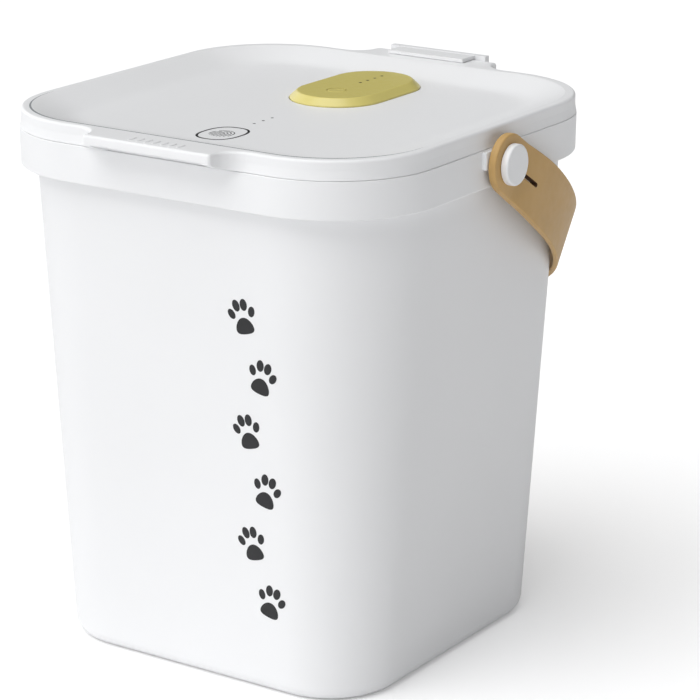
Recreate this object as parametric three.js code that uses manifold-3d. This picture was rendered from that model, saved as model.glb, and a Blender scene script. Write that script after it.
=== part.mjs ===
// Pet food bin: a tapered square bucket with a screwed-on collar, a hinged vacuum lid, a lift-out
// pump module and a strap handle.
// Millimetres, +Z up. The origin is the centre of the base, on the floor. The front is -Y.

import * as THREE from "three";
import { mergeVertices } from "three/addons/utils/BufferGeometryUtils.js";
import Module from "manifold-3d";

const wasm = await Module();
wasm.setup();

// ---------------------------------------------------------------- driving dimensions

const CORNER_STEPS = 7; // segments in one rounded corner of a square outline
const FIT = 0.3; // gap between pieces that touch
const RUN = 0.08; // radial clearance of a turning fit

// Bucket: half width and corner radius grow with height.
const BASE_HALF = 102.5;
const BASE_CORNER = 41;
const BASE_FILLET = 7.7;
const DRAFT = 0.0605; // half width gained per mm of height
const CORNER_DRAFT = 0.069; // corner radius gained per mm of height
const BUCKET_TOP = 287.5;
const BUCKET_WALL = 2.4;
const BUCKET_FLOOR = 3;

// Collar round the bucket mouth.
const COLLAR_BOTTOM = 269;
const COLLAR_TOP = 289.5;
const COLLAR_HALF = 125.2;
const COLLAR_CORNER = 61;
const COLLAR_INSIDE = 121; // a depth safely inside the collar's wall

// Lid shell.
const SKIRT_BOTTOM = 289.8;
const LID_TOP = 300;
const LID_HALF = 124.4;
const LID_CORNER = 58;
const LID_TAPER = 0.7; // how much narrower the skirt is at its top
const SKIRT_WALL = 2.3;
const EDGE_ROUND = 1.6;
const DISH_HALF = 118.5; // at the rim
const DISH_CORNER = 54; // at the rim
const DISH_WIDTH = 25;
const DISH_TOE = 0.5; // share of the dish wall that eases into the panel
const PANEL_Z = 293.2;
const PANEL_THICK = 2.2;
const LIP_HALF = 40.5; // half width of the front and rear lips
const LIP_OUT = 139;
const LIP_THICK = 5.4;
const LIP_CHEEK = 4.5;
const LIP_BLEND = 13;
const LIP_ROUND = 2;

// Liner, gasket and plug ring under the lid.
const LINER_TOP = 286.4;
const LINER_THICK = 2;
const PLUG_INSET = 5.7; // inwards from the bucket's outside at its mouth
const PLUG_BOTTOM = 281;
const FLANGE_HALF = 121.8;
const FLANGE_BOTTOM = 290;
const FLANGE_THICK = 1.3;
const GASKET_INSET = 0.5;
const GASKET_WIDTH = 3.6;
const LINER_SCREWS = [-85, 0, 85].flatMap((y) => [[-90, y], [90, y]]);

// Pump module: a stadium outline along Y.
const PUMP_Y = 53.2;
const PUMP_STRAIGHT = 17.2; // half length of the straight sides
const PUMP_BASE_R = 26.8;
const PUMP_TOP_R = 22.5;
const PUMP_BODY_R = 23.2;
const PUMP_TOP_Z = 297.6;
const PUMP_WALL = 1.8;
const TRAY_BOTTOM = 262;
const TRAY_TOP = 288.7;
const TRAY_FLOOR = 2;
const WELL_R = 24.2;
const WELL_FLOOR = 260;
const PUMP_BOSSES = [PUMP_Y - 33.5, PUMP_Y + 33.5];
const BOSS_R = 4;
const PUMP_HEAD_SEAT = 281; // top of the screw head holes in the tray
const PORT = [-10.5, 66]; // suction port, x and y
const VALVE_R = 7;
const VALVE_STEM_R = 1.2;
const AIR_HOLE_RING = 4;
const NOZZLE_R = 2.7;
const SEAL_R = 8;
const MOTOR = { radius: 9, y0: 28.5, y1: 55, z: 276 };
const CELL = { radius: 7, y0: 28, y1: 78, x: 8.6, z: 274 };
const SOCKET = { inner: 17.5, half: 4.5, z0: 282, z1: 285.2 };
const BOARD_HALF = 17;
const BOARD_YS = [25, 82];
const BOARD_Z = 290;
const BOARD_THICK = 1.6;
const BUTTON_Y = 34.5;
const BUTTON_R = 5.3;
const SWITCH_HALF = 3; // the switch on the board under the button
const LEVEL_YS = [58.3, 65.7, 73.0, 80.3];
const STATUS_YS = [-43.7, -35.4, -27];
const TOUCH_BOARD = { half: 17, y0: -90, y1: -22, z0: 289.1, z1: 290.7 };
const LIGHT_R = 0.65;

// Hinge behind the lid.
const HINGE_Y = 143.5;
const HINGE_Z = 287;
const KNUCKLE_R = 5;
const KNUCKLE_HALF = 20;
const EAR_THICK = 5.7;
const PIN_R = 2;
const HINGE_HALF = 32; // half width of the bracket and of the leaf's bar
const BRACKET_FACE = 128.6;
const BRACKET_SCREW_XS = [-12, 12];
const BRACKET_SCREW_Z = 276;
const LEAF_HALF = 25;
const LEAF_FRONT = 126;
const LEAF_SCREW_XS = [-13, 13];
const LEAF_SCREW_Y = 132.5;

// Strap handle and its pivot. Beyond a short straight run the outer face follows a curve to the
// middle of the loop.
const PIVOT_Z = 280.4;
const PAD_X = 127.3;
const PAD_R = 8.4;
const PAD_HALF = 17;
const PAD_BOTTOM = 279.5;
const STRAP_TILT = THREE.MathUtils.degToRad(33.5); // below level, towards the back
const STRAP_X = 132; // half width of the outer face at the pivots
const STRAP_STRAIGHT = 12;
const STRAP_SIDE = [142.5, 82]; // curve handle beside the pivot: half width and reach
const STRAP_TURN = 100; // half width of the curve handle beside the middle
const STRAP_REACH = 181.5; // from the pivots to the middle of the loop
const STRAP_THICK = 4.5; // at the pivots
const STRAP_THIN = 3; // round the back
const STRAP_THINNING = [35, 85]; // distance from the pivots over which it thins
const STRAP_END_R = 16; // round end at the pivots
const STRAP_HALF = 17.7; // half the strap's width beyond the flare
const STRAP_FLARE = 50; // distance over which it widens
const SLIT_LENGTH = 30;
const SLIT_HALF = 1.2;
const BUSH_R = 5;
const PIVOT_SCREW_R = 2;
const CAP_R = 11;
const CAP_IN = 132.5;
const CAP_OUT = 136;

// Small screws: pilot hole, shaft and head radii.
const PILOT_R = 1.5;
const SHAFT_R = 1.2;
const HEAD_R = 2.8;

// ---------------------------------------------------------------- colours

const WHITE = [0xf1f2f4, 0.42];
const LINER_WHITE = [0xe9eaec, 0.5];
const YELLOW = [0xd8cb74, 0.4];
const TAN = [0xb88f57, 0.6];
const GREY = [0x8d9196, 0.55];
const DARK = [0x2a2b2e, 0.5];
const GREEN = [0x1f6b45, 0.5];
const RUBBER = [0xd5d7d8, 0.7];
const STEEL = [0xb9bcc0, 0.3, 0.9];

// ---------------------------------------------------------------- geometry helpers

function place(geometry, x, y, z) {
  return geometry.translate(x, y, z);
}

function box(x0, x1, y0, y1, z0, z1) {
  const geometry = new THREE.BoxGeometry(x1 - x0, y1 - y0, z1 - z0);
  return place(geometry, (x0 + x1) / 2, (y0 + y1) / 2, (z0 + z1) / 2);
}

// Cylinders from one end to the other along each axis.
function rodX(radius, x0, x1, y, z, steps = 16) {
  const geometry = new THREE.CylinderGeometry(radius, radius, Math.abs(x1 - x0), steps);
  return place(geometry.rotateZ(Math.PI / 2), (x0 + x1) / 2, y, z);
}

function rodY(radius, y0, y1, x, z, steps = 16) {
  const geometry = new THREE.CylinderGeometry(radius, radius, Math.abs(y1 - y0), steps);
  return place(geometry, x, (y0 + y1) / 2, z);
}

function rodZ(radius, z0, z1, x, y, steps = 16) {
  const geometry = new THREE.CylinderGeometry(radius, radius, z1 - z0, steps);
  return place(geometry.rotateX(Math.PI / 2), x, y, (z0 + z1) / 2);
}

// A square with rounded corners, or a stadium, as a list of points going anticlockwise.
function roundedOutline(centreX, centreY, offsetX, offsetY, radius, steps = CORNER_STEPS) {
  const points = [];
  for (let corner = 0; corner < 4; corner += 1) {
    const signX = corner === 0 || corner === 3 ? 1 : -1;
    const signY = corner < 2 ? 1 : -1;
    for (let step = 0; step <= steps; step += 1) {
      const angle = ((corner + step / steps) * Math.PI) / 2;
      const x = centreX + signX * offsetX + radius * Math.cos(angle);
      const y = centreY + signY * offsetY + radius * Math.sin(angle);
      points.push(new THREE.Vector2(x, y));
    }
  }
  return points;
}

function square(half, corner) {
  return roundedOutline(0, 0, half - corner, half - corner, corner);
}

function stadium(radius) {
  const points = roundedOutline(0, PUMP_Y, 0, PUMP_STRAIGHT, radius);
  return points.filter((p, i) => i === 0 || p.distanceTo(points[i - 1]) > 0.01);
}

// A closed body through a stack of outlines that all have the same number of points.
function loft(levels) {
  const count = levels[0].outline.length;
  const positions = [];
  const faces = [];
  for (const { outline, z } of levels) {
    for (const p of outline) positions.push(p.x, p.y, z);
  }
  for (let level = 0; level + 1 < levels.length; level += 1) {
    for (let i = 0; i < count; i += 1) {
      const a = level * count + i;
      const b = level * count + ((i + 1) % count);
      faces.push(a, b, b + count, a, b + count, a + count);
    }
  }
  const last = (levels.length - 1) * count;
  for (const [a, b, c] of THREE.ShapeUtils.triangulateShape(levels[0].outline, [])) {
    faces.push(a, c, b);
  }
  for (const [a, b, c] of THREE.ShapeUtils.triangulateShape(levels.at(-1).outline, [])) {
    faces.push(a + last, b + last, c + last);
  }
  const geometry = new THREE.BufferGeometry();
  geometry.setAttribute("position", new THREE.Float32BufferAttribute(positions, 3));
  geometry.setIndex(faces);
  return geometry;
}

function prism(outline, z0, z1) {
  return loft([{ outline, z: z0 }, { outline, z: z1 }]);
}

function toSolid(shape) {
  if (shape instanceof wasm.Manifold) return shape;
  const bare = shape.clone();
  bare.deleteAttribute("normal");
  bare.deleteAttribute("uv");
  const merged = mergeVertices(bare, 1e-4);
  const vertProperties = new Float32Array(merged.attributes.position.array);
  const triVerts = new Uint32Array(merged.index.array);
  return new wasm.Manifold(new wasm.Mesh({ numProp: 3, vertProperties, triVerts }));
}

function join(...shapes) {
  return shapes.map(toSolid).reduce((whole, next) => whole.add(next));
}

function cut(shape, ...tools) {
  return tools.map(toSolid).reduce((rest, tool) => rest.subtract(tool), toSolid(shape));
}

function toGeometry(shape) {
  if (shape instanceof THREE.BufferGeometry) return shape;
  const { vertProperties, triVerts } = shape.getMesh();
  const geometry = new THREE.BufferGeometry();
  geometry.setAttribute("position", new THREE.BufferAttribute(vertProperties, 3));
  geometry.setIndex(new THREE.BufferAttribute(triVerts, 1));
  return geometry;
}

const bin = new THREE.Group();

function addPart(name, shape, [color, roughness, metalness = 0]) {
  const material = new THREE.MeshStandardMaterial({ color, roughness, metalness });
  const mesh = new THREE.Mesh(toGeometry(shape), material);
  mesh.name = name;
  bin.add(mesh);
  return mesh;
}

// ---------------------------------------------------------------- bucket and collar

// Outline of the bucket's outside at one height, moved inwards by inset.
function bucketOutline(z, inset = 0) {
  const rise = z - BASE_FILLET;
  const half = BASE_HALF + DRAFT * rise - inset;
  const corner = BASE_CORNER + CORNER_DRAFT * rise - inset;
  return square(half, corner);
}

// The tapered solid with a rounded foot; inset and lift give the cavity inside it.
function bucketSolid(inset, bottom, top) {
  const levels = [];
  const footSteps = 4;
  const radius = BASE_FILLET - inset / 2;
  for (let step = 0; step <= footSteps; step += 1) {
    const angle = (step / footSteps) * (Math.PI / 2);
    const z = bottom + radius * (1 - Math.cos(angle));
    const tuck = radius * (1 - Math.sin(angle));
    levels.push({ outline: bucketOutline(BASE_FILLET, inset + tuck), z });
  }
  levels.push({ outline: bucketOutline(top, inset), z: top });
  return loft(levels);
}

const bucketOuter = bucketSolid(0, 0, BUCKET_TOP);
const bucketInner = bucketSolid(BUCKET_WALL, BUCKET_FLOOR, BUCKET_TOP + 1);
addPart("bucket", cut(bucketOuter, bucketInner), WHITE);

function collarShape() {
  const outer = loft([
    { outline: square(COLLAR_HALF - 0.8, COLLAR_CORNER), z: COLLAR_BOTTOM },
    { outline: square(COLLAR_HALF, COLLAR_CORNER), z: COLLAR_BOTTOM + 0.8 },
    { outline: square(COLLAR_HALF - 0.4, COLLAR_CORNER - 2), z: COLLAR_TOP },
  ]);
  const mouth = loft([
    { outline: bucketOutline(COLLAR_BOTTOM - 1, -FIT), z: COLLAR_BOTTOM - 1 },
    { outline: bucketOutline(COLLAR_TOP + 1, -FIT), z: COLLAR_TOP + 1 },
  ]);
  const pads = [-1, 1].map((side) => {
    const [x0, x1] = side < 0 ? [-PAD_X, -COLLAR_INSIDE - 1] : [COLLAR_INSIDE + 1, PAD_X];
    const plate = box(x0, x1, -PAD_HALF, PAD_HALF, PAD_BOTTOM, COLLAR_TOP - 0.6);
    return join(plate, rodX(PAD_R, x0, x1, 0, PIVOT_Z, 24));
  });
  const pivotHoles = [-1, 1].map((side) => {
    return rodX(PIVOT_SCREW_R + FIT, side * COLLAR_INSIDE, side * (PAD_X + 1), 0, PIVOT_Z);
  });
  const hingeHoles = BRACKET_SCREW_XS.map((x) => {
    return rodY(PILOT_R, COLLAR_INSIDE, COLLAR_HALF + 1, x, BRACKET_SCREW_Z);
  });
  return cut(join(outer, ...pads), mouth, ...pivotHoles, ...hingeHoles);
}

addPart("rim_collar", collarShape(), WHITE);

// ---------------------------------------------------------------- strap handle

// Half of the strap's outer face, seen square to the band: from the pivot's round end to the middle.
function strapOuterPath() {
  const curve = new THREE.CubicBezierCurve(
    new THREE.Vector2(STRAP_X, STRAP_STRAIGHT),
    new THREE.Vector2(...STRAP_SIDE),
    new THREE.Vector2(STRAP_TURN, STRAP_REACH),
    new THREE.Vector2(0, STRAP_REACH),
  );
  const start = new THREE.Vector2(STRAP_X, -STRAP_END_R);
  return [start, new THREE.Vector2(STRAP_X, 0), ...curve.getPoints(22)];
}

// The strap's outline seen from the side: round ends that flare out to the full width.
function strapSide() {
  const side = new THREE.Shape();
  const far = STRAP_REACH + 5;
  side.moveTo(far, -STRAP_HALF);
  side.lineTo(STRAP_FLARE, -STRAP_HALF);
  side.bezierCurveTo(STRAP_FLARE / 2, -STRAP_HALF, STRAP_FLARE / 2, -STRAP_END_R, 0, -STRAP_END_R);
  side.absarc(0, 0, STRAP_END_R, -Math.PI / 2, Math.PI / 2, true);
  side.bezierCurveTo(STRAP_FLARE / 2, STRAP_END_R, STRAP_FLARE / 2, STRAP_HALF, STRAP_FLARE, STRAP_HALF);
  side.lineTo(far, STRAP_HALF);
  return side;
}

// The strap lies in its own level plane here, with the pivots' axis through the origin.
function strapShape() {
  const outer = strapOuterPath();
  const inner = outer.map((p, i) => {
    const before = outer[Math.max(i - 1, 0)];
    const after = outer[Math.min(i + 1, outer.length - 1)];
    const along = after.clone().sub(before).normalize();
    const middle = i === outer.length - 1;
    const inward = middle ? new THREE.Vector2(0, -1) : new THREE.Vector2(-along.y, along.x);
    const thinned = THREE.MathUtils.smoothstep(p.y, ...STRAP_THINNING);
    return p.clone().addScaledVector(inward, STRAP_THICK - (STRAP_THICK - STRAP_THIN) * thinned);
  });
  const mirror = (points) => points.slice(0, -1).reverse().map((p) => new THREE.Vector2(-p.x, p.y));
  const outline = [...outer, ...mirror(outer), ...mirror(inner).reverse(), ...inner.slice().reverse()];
  const depth = 2 * STRAP_HALF + 2;
  const band = new THREE.ExtrudeGeometry(new THREE.Shape(outline), { depth, bevelEnabled: false });
  band.translate(0, 0, -depth / 2);

  const x0 = STRAP_X - STRAP_THICK - 4;
  const x1 = STRAP_X + 12;
  const window = new THREE.ExtrudeGeometry(strapSide(), {
    depth: 2 * x1,
    bevelEnabled: false,
    curveSegments: 10,
  });
  window.rotateY(Math.PI / 2).rotateX(Math.PI / 2).translate(-x1, 0, 0);
  const pivots = [-1, 1].map((end) => rodX(BUSH_R + RUN, end * x0, end * x1, 0, 0, 24));
  const slits = [[x0, x1], [-x1, -x0]].map(([low, high]) => {
    return box(low, high, 0, SLIT_LENGTH, -SLIT_HALF, SLIT_HALF);
  });
  return cut(toSolid(band).intersect(toSolid(window)), ...pivots, ...slits);
}

const strap = addPart("strap_handle", strapShape(), TAN);
strap.position.z = PIVOT_Z;
strap.rotation.x = -STRAP_TILT;

// Each pivot: a bush in the strap's hole, a screw into the collar and a snap-on cap.
for (const [name, side] of [["left", -1], ["right", 1]]) {
  const rod = (radius, x0, x1, steps) => rodX(radius, side * x0, side * x1, 0, PIVOT_Z, steps);
  const bushOut = CAP_IN - 0.2;
  const headIn = bushOut + FIT;
  const headOut = headIn + 1.8;
  const bush = cut(
    rod(BUSH_R, PAD_X + FIT, bushOut, 24),
    rod(PIVOT_SCREW_R + FIT, PAD_X, CAP_OUT, 16),
  );
  addPart(`strap_bush_${name}`, bush, STEEL);
  const screw = join(
    rod(PIVOT_SCREW_R, COLLAR_INSIDE + 0.5, headIn + 0.5, 16),
    rod(BUSH_R, headIn, headOut, 16),
  );
  addPart(`strap_screw_${name}`, screw, STEEL);
  const cap = cut(
    join(rod(CAP_R, CAP_IN, CAP_OUT - 1, 28), rod(CAP_R - 1, CAP_IN + 0.1, CAP_OUT, 28)),
    rod(BUSH_R + FIT, CAP_IN - 1, headOut + FIT, 16),
  );
  addPart(`strap_cap_${name}`, cap, WHITE);
}

// ---------------------------------------------------------------- lid shell

// What is cleared away under a lip's ends, which sweep up from the skirt's bottom to the lip.
function lipSweep(half) {
  const steps = 5;
  const start = LID_HALF + 0.4;
  const profile = new THREE.Shape();
  profile.moveTo(start, SKIRT_BOTTOM - 1);
  for (let step = 0; step <= steps; step += 1) {
    const share = step / steps;
    const rise = (LID_TOP - LIP_THICK - SKIRT_BOTTOM) * share ** 1.5;
    profile.lineTo(start + (LIP_OUT - start) * share, SKIRT_BOTTOM + rise);
  }
  profile.lineTo(LIP_OUT + 1, LID_TOP - LIP_THICK);
  profile.lineTo(LIP_OUT + 1, SKIRT_BOTTOM - 1);
  const solid = new THREE.ExtrudeGeometry(profile, { depth: 2 * half, bevelEnabled: false });
  return solid.rotateY(Math.PI / 2).rotateX(Math.PI / 2).translate(-half, 0, 0);
}

// A lip that stands out from the lid's side, blended into it, with a finger pocket below.
function lipShape(sign) {
  const wall = LID_HALF - 4.4;
  const face = LID_HALF - 0.8;
  const foot = LIP_HALF + LIP_BLEND + 6;
  const outline = new THREE.Shape();
  outline.moveTo(-foot, wall);
  outline.lineTo(-LIP_HALF - LIP_BLEND, face);
  outline.quadraticCurveTo(-LIP_HALF, face, -LIP_HALF, face + LIP_BLEND);
  outline.lineTo(-LIP_HALF, LIP_OUT - LIP_ROUND);
  outline.quadraticCurveTo(-LIP_HALF, LIP_OUT, -LIP_HALF + LIP_ROUND, LIP_OUT);
  outline.lineTo(LIP_HALF - LIP_ROUND, LIP_OUT);
  outline.quadraticCurveTo(LIP_HALF, LIP_OUT, LIP_HALF, LIP_OUT - LIP_ROUND);
  outline.lineTo(LIP_HALF, face + LIP_BLEND);
  outline.quadraticCurveTo(LIP_HALF, face, LIP_HALF + LIP_BLEND, face);
  outline.lineTo(foot, wall);
  const slab = new THREE.ExtrudeGeometry(outline, {
    depth: LID_TOP - SKIRT_BOTTOM,
    bevelEnabled: false,
    curveSegments: 6,
  }).translate(0, 0, SKIRT_BOTTOM);
  const pocketHalf = LIP_HALF - LIP_CHEEK;
  const pocketTop = LID_TOP - LIP_THICK;
  const pocketFar = LIP_OUT + 10;
  const pocket = box(-pocketHalf, pocketHalf, LID_HALF + 0.2, pocketFar, SKIRT_BOTTOM - 1, pocketTop);
  const lip = cut(slab, pocket, lipSweep(foot));
  return sign > 0 ? lip : lip.rotate([0, 0, 180]);
}

// The sunk dish: a slope that eases into the flat panel. grow makes the wall round it.
function dishSolid(grow, drop) {
  const levels = [];
  for (const t of [0, DISH_TOE / 3, DISH_TOE / 1.5, DISH_TOE, 1]) {
    const toe = Math.min(t, DISH_TOE);
    const rise = (t - toe + toe ** 2 / (2 * DISH_TOE)) / (1 - DISH_TOE / 2);
    const inside = DISH_WIDTH * (1 - t) - grow;
    const z = PANEL_Z - drop + (LID_TOP - PANEL_Z) * rise;
    levels.push({ outline: square(DISH_HALF - inside, DISH_CORNER - inside), z });
  }
  levels.push({ outline: levels.at(-1).outline, z: LID_TOP + 2 });
  return loft(levels);
}

function lidShape() {
  const levels = [{ outline: square(LID_HALF, LID_CORNER), z: SKIRT_BOTTOM }];
  const steps = 3;
  for (let step = 0; step <= steps; step += 1) {
    const angle = (step / steps) * (Math.PI / 2);
    const inset = LID_TAPER + EDGE_ROUND * (1 - Math.cos(angle));
    const z = LID_TOP - EDGE_ROUND * (1 - Math.sin(angle));
    levels.push({ outline: square(LID_HALF - inset, LID_CORNER - inset), z });
  }
  const body = join(loft(levels), lipShape(1), lipShape(-1));
  const under = prism(
    square(LID_HALF - SKIRT_WALL, LID_CORNER - SKIRT_WALL),
    SKIRT_BOTTOM - 1,
    LID_TOP - SKIRT_WALL,
  );
  const hollow = cut(under, dishSolid(PANEL_THICK, PANEL_THICK));
  const bosses = LINER_SCREWS.map(([x, y]) => rodZ(3.5, LINER_TOP + FIT, PANEL_Z - 1, x, y, 12));
  const shell = join(cut(body, dishSolid(0, 0), hollow), ...bosses);
  const screwHoles = LINER_SCREWS.map(([x, y]) => {
    return rodZ(PILOT_R, LINER_TOP - 1, PANEL_Z - 1.4, x, y, 12);
  });
  const leafHoles = LEAF_SCREW_XS.map((x) => {
    return rodZ(PILOT_R, SKIRT_BOTTOM, LID_TOP + 1, x, LEAF_SCREW_Y, 12);
  });
  const panelLow = PANEL_Z - PANEL_THICK - 1;
  const panelHigh = PANEL_Z + 1;
  const lightHoles = STATUS_YS.map((y) => rodZ(LIGHT_R + FIT, panelLow, panelHigh, 0, y, 12));
  const opening = prism(stadium(PUMP_BODY_R + FIT), panelLow, panelHigh);
  return cut(shell, opening, ...screwHoles, ...leafHoles, ...lightHoles);
}

addPart("lid_shell", lidShape(), WHITE);

for (const [i, y] of STATUS_YS.entries()) {
  const pipe = rodZ(LIGHT_R, TOUCH_BOARD.z1 + FIT, PANEL_Z, 0, y, 12);
  addPart(`status_light_${i + 1}`, pipe, DARK);
}

const { half, y0, y1, z0, z1 } = TOUCH_BOARD;
addPart("touch_board", box(-half, half, y0, y1, z0, z1), GREEN);

// ---------------------------------------------------------------- liner, gasket and check valve

function linerShape() {
  const plugOuter = bucketOutline(BUCKET_TOP, PLUG_INSET);
  const plugMiddle = bucketOutline(BUCKET_TOP, PLUG_INSET + 1);
  const plugInner = bucketOutline(BUCKET_TOP, PLUG_INSET + 2.2);
  const plug = cut(
    prism(plugOuter, PLUG_BOTTOM, FLANGE_BOTTOM + FLANGE_THICK),
    prism(plugInner, PLUG_BOTTOM - 1, LID_TOP),
  );
  const plate = prism(plugMiddle, LINER_TOP - LINER_THICK, LINER_TOP);
  const flange = cut(
    prism(square(FLANGE_HALF, LID_CORNER - 2), FLANGE_BOTTOM, FLANGE_BOTTOM + FLANGE_THICK),
    prism(plugMiddle, FLANGE_BOTTOM - 1, LID_TOP),
  );
  const wellLow = WELL_FLOOR - LINER_THICK;
  const well = prism(stadium(WELL_R + LINER_THICK), wellLow, LINER_TOP);
  const wellHole = prism(stadium(WELL_R), WELL_FLOOR, LID_TOP);
  const screwHoles = LINER_SCREWS.map(([x, y]) => rodZ(PILOT_R, PLUG_BOTTOM, LID_TOP, x, y, 12));
  const stem = rodZ(VALVE_STEM_R + FIT, wellLow - 1, WELL_FLOOR + 1, ...PORT, 12);
  const airHoles = [0, 1, 2, 3].map((i) => {
    const angle = ((i + 0.5) * Math.PI) / 2;
    const x = PORT[0] + AIR_HOLE_RING * Math.cos(angle);
    const y = PORT[1] + AIR_HOLE_RING * Math.sin(angle);
    return rodZ(0.9, wellLow - 1, WELL_FLOOR + 1, x, y, 12);
  });
  return cut(join(plug, plate, flange, well), wellHole, stem, ...screwHoles, ...airHoles);
}

addPart("lid_liner", linerShape(), LINER_WHITE);

for (const [i, [x, y]] of LINER_SCREWS.entries()) {
  const headTop = LINER_TOP - LINER_THICK - FIT;
  const head = rodZ(HEAD_R, headTop - 1.7, headTop, x, y, 12);
  const shaft = rodZ(SHAFT_R, headTop - 1, PANEL_Z - 1.7, x, y, 12);
  addPart(`liner_screw_${i + 1}`, join(head, shaft), STEEL);
}

const gasket = cut(
  prism(bucketOutline(BUCKET_TOP, GASKET_INSET), BUCKET_TOP + FIT, FLANGE_BOTTOM - FIT),
  prism(bucketOutline(BUCKET_TOP, GASKET_INSET + GASKET_WIDTH), BUCKET_TOP - 1, LID_TOP),
);
addPart("lid_gasket", gasket, RUBBER);

const valveLow = WELL_FLOOR - LINER_THICK - 2;
const valve = join(
  rodZ(VALVE_R, valveLow, valveLow + 2 - FIT, ...PORT),
  rodZ(VALVE_STEM_R, valveLow, WELL_FLOOR + 0.2, ...PORT, 12),
);
addPart("check_valve", valve, RUBBER);

// ---------------------------------------------------------------- hinge

const pinHole = rodX(PIN_R + RUN, -2 * KNUCKLE_HALF, 2 * KNUCKLE_HALF, HINGE_Y, HINGE_Z);

function hingeBracket() {
  const back = COLLAR_HALF + 0.4;
  const low = COLLAR_BOTTOM + 2;
  const plate = box(-HINGE_HALF, HINGE_HALF, back, BRACKET_FACE, low, HINGE_Z - 0.4);
  const ears = [-1, 1].map((side) => {
    const inner = KNUCKLE_HALF + FIT;
    const x0 = side < 0 ? -inner - EAR_THICK : inner;
    const ear = new THREE.Shape();
    ear.moveTo(back + 0.2, low + 1);
    ear.lineTo(HINGE_Y, HINGE_Z - KNUCKLE_R);
    ear.absarc(HINGE_Y, HINGE_Z, KNUCKLE_R, -Math.PI / 2, Math.PI / 2, false);
    ear.lineTo(HINGE_Y - 6.5, HINGE_Z + 1.4);
    ear.lineTo(back + 0.2, HINGE_Z - 1);
    const solid = new THREE.ExtrudeGeometry(ear, {
      depth: EAR_THICK,
      bevelEnabled: false,
      curveSegments: 12,
    });
    solid.rotateY(Math.PI / 2).rotateX(Math.PI / 2);
    return place(solid, x0, 0, 0);
  });
  const screwHoles = BRACKET_SCREW_XS.map((x) => {
    return rodY(PILOT_R, back - 1, BRACKET_FACE + 1, x, BRACKET_SCREW_Z);
  });
  return cut(join(plate, ...ears), pinHole, ...screwHoles);
}

addPart("hinge_bracket", hingeBracket(), WHITE);
const pinHalf = KNUCKLE_HALF + FIT + EAR_THICK + 1;
addPart("hinge_pin", rodX(PIN_R, -pinHalf, pinHalf, HINGE_Y, HINGE_Z), STEEL);
for (const [i, name] of ["left", "right"].entries()) {
  const x = BRACKET_SCREW_XS[i];
  const headIn = BRACKET_FACE + FIT;
  const head = rodY(HEAD_R, headIn, headIn + 1.7, x, BRACKET_SCREW_Z);
  const shaft = rodY(SHAFT_R, COLLAR_INSIDE + 0.5, headIn + 1, x, BRACKET_SCREW_Z);
  addPart(`bracket_screw_${name}`, join(head, shaft), STEEL);
}

function hingeLeaf() {
  const plateZ = LID_TOP + FIT;
  const inner = LIP_OUT + FIT;
  const plate = box(-LEAF_HALF, LEAF_HALF, LEAF_FRONT, HINGE_Y - 3, plateZ, plateZ + 2);
  const bar = box(-HINGE_HALF, HINGE_HALF, inner, HINGE_Y, HINGE_Z + 6.5, plateZ + 2.2);
  const web = box(-KNUCKLE_HALF, KNUCKLE_HALF, inner, HINGE_Y, HINGE_Z, HINGE_Z + 8);
  const knuckle = rodX(KNUCKLE_R, -KNUCKLE_HALF, KNUCKLE_HALF, HINGE_Y, HINGE_Z);
  const screwHoles = LEAF_SCREW_XS.map((x) => {
    return rodZ(PILOT_R, SKIRT_BOTTOM, plateZ + 1.4, x, LEAF_SCREW_Y, 12);
  });
  return cut(join(plate, bar, web, knuckle), pinHole, ...screwHoles);
}

addPart("hinge_leaf", hingeLeaf(), WHITE);
for (const [i, name] of ["left", "right"].entries()) {
  const x = LEAF_SCREW_XS[i];
  const headTop = LID_TOP - LIP_THICK - FIT;
  const head = rodZ(HEAD_R, headTop - 1.7, headTop, x, LEAF_SCREW_Y);
  const shaft = rodZ(SHAFT_R, headTop - 1, LID_TOP + 1.4, x, LEAF_SCREW_Y, 12);
  addPart(`leaf_screw_${name}`, join(head, shaft), STEEL);
}

// ---------------------------------------------------------------- pump module

function pumpCover() {
  const base = PANEL_Z + FIT;
  const cap = loft([
    { outline: stadium(PUMP_BASE_R), z: base },
    { outline: stadium(PUMP_BASE_R), z: base + 0.6 },
    { outline: stadium(PUMP_TOP_R + 0.3), z: PUMP_TOP_Z - 0.2 },
    { outline: stadium(PUMP_TOP_R), z: PUMP_TOP_Z },
  ]);
  const skirtLow = TRAY_TOP + FIT;
  const skirt = prism(stadium(PUMP_BODY_R), skirtLow, PUMP_TOP_Z - 2);
  const hollow = prism(stadium(PUMP_BODY_R - PUMP_WALL), skirtLow - 1, PUMP_TOP_Z - 1.6);
  const bosses = PUMP_BOSSES.map((y) => rodZ(BOSS_R, skirtLow, PUMP_TOP_Z - 1, 0, y));
  const screwHoles = PUMP_BOSSES.map((y) => rodZ(PILOT_R, skirtLow - 1, base + 0.5, 0, y, 12));
  const over = PUMP_TOP_Z + 1;
  const buttonHole = rodZ(BUTTON_R + 0.25, skirtLow, over, 0, BUTTON_Y, 24);
  const lightHoles = LEVEL_YS.map((y) => rodZ(LIGHT_R + FIT, skirtLow, over, 0, y, 12));
  const shell = join(cut(join(cap, skirt), hollow), ...bosses);
  return cut(shell, buttonHole, ...screwHoles, ...lightHoles);
}

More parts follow.
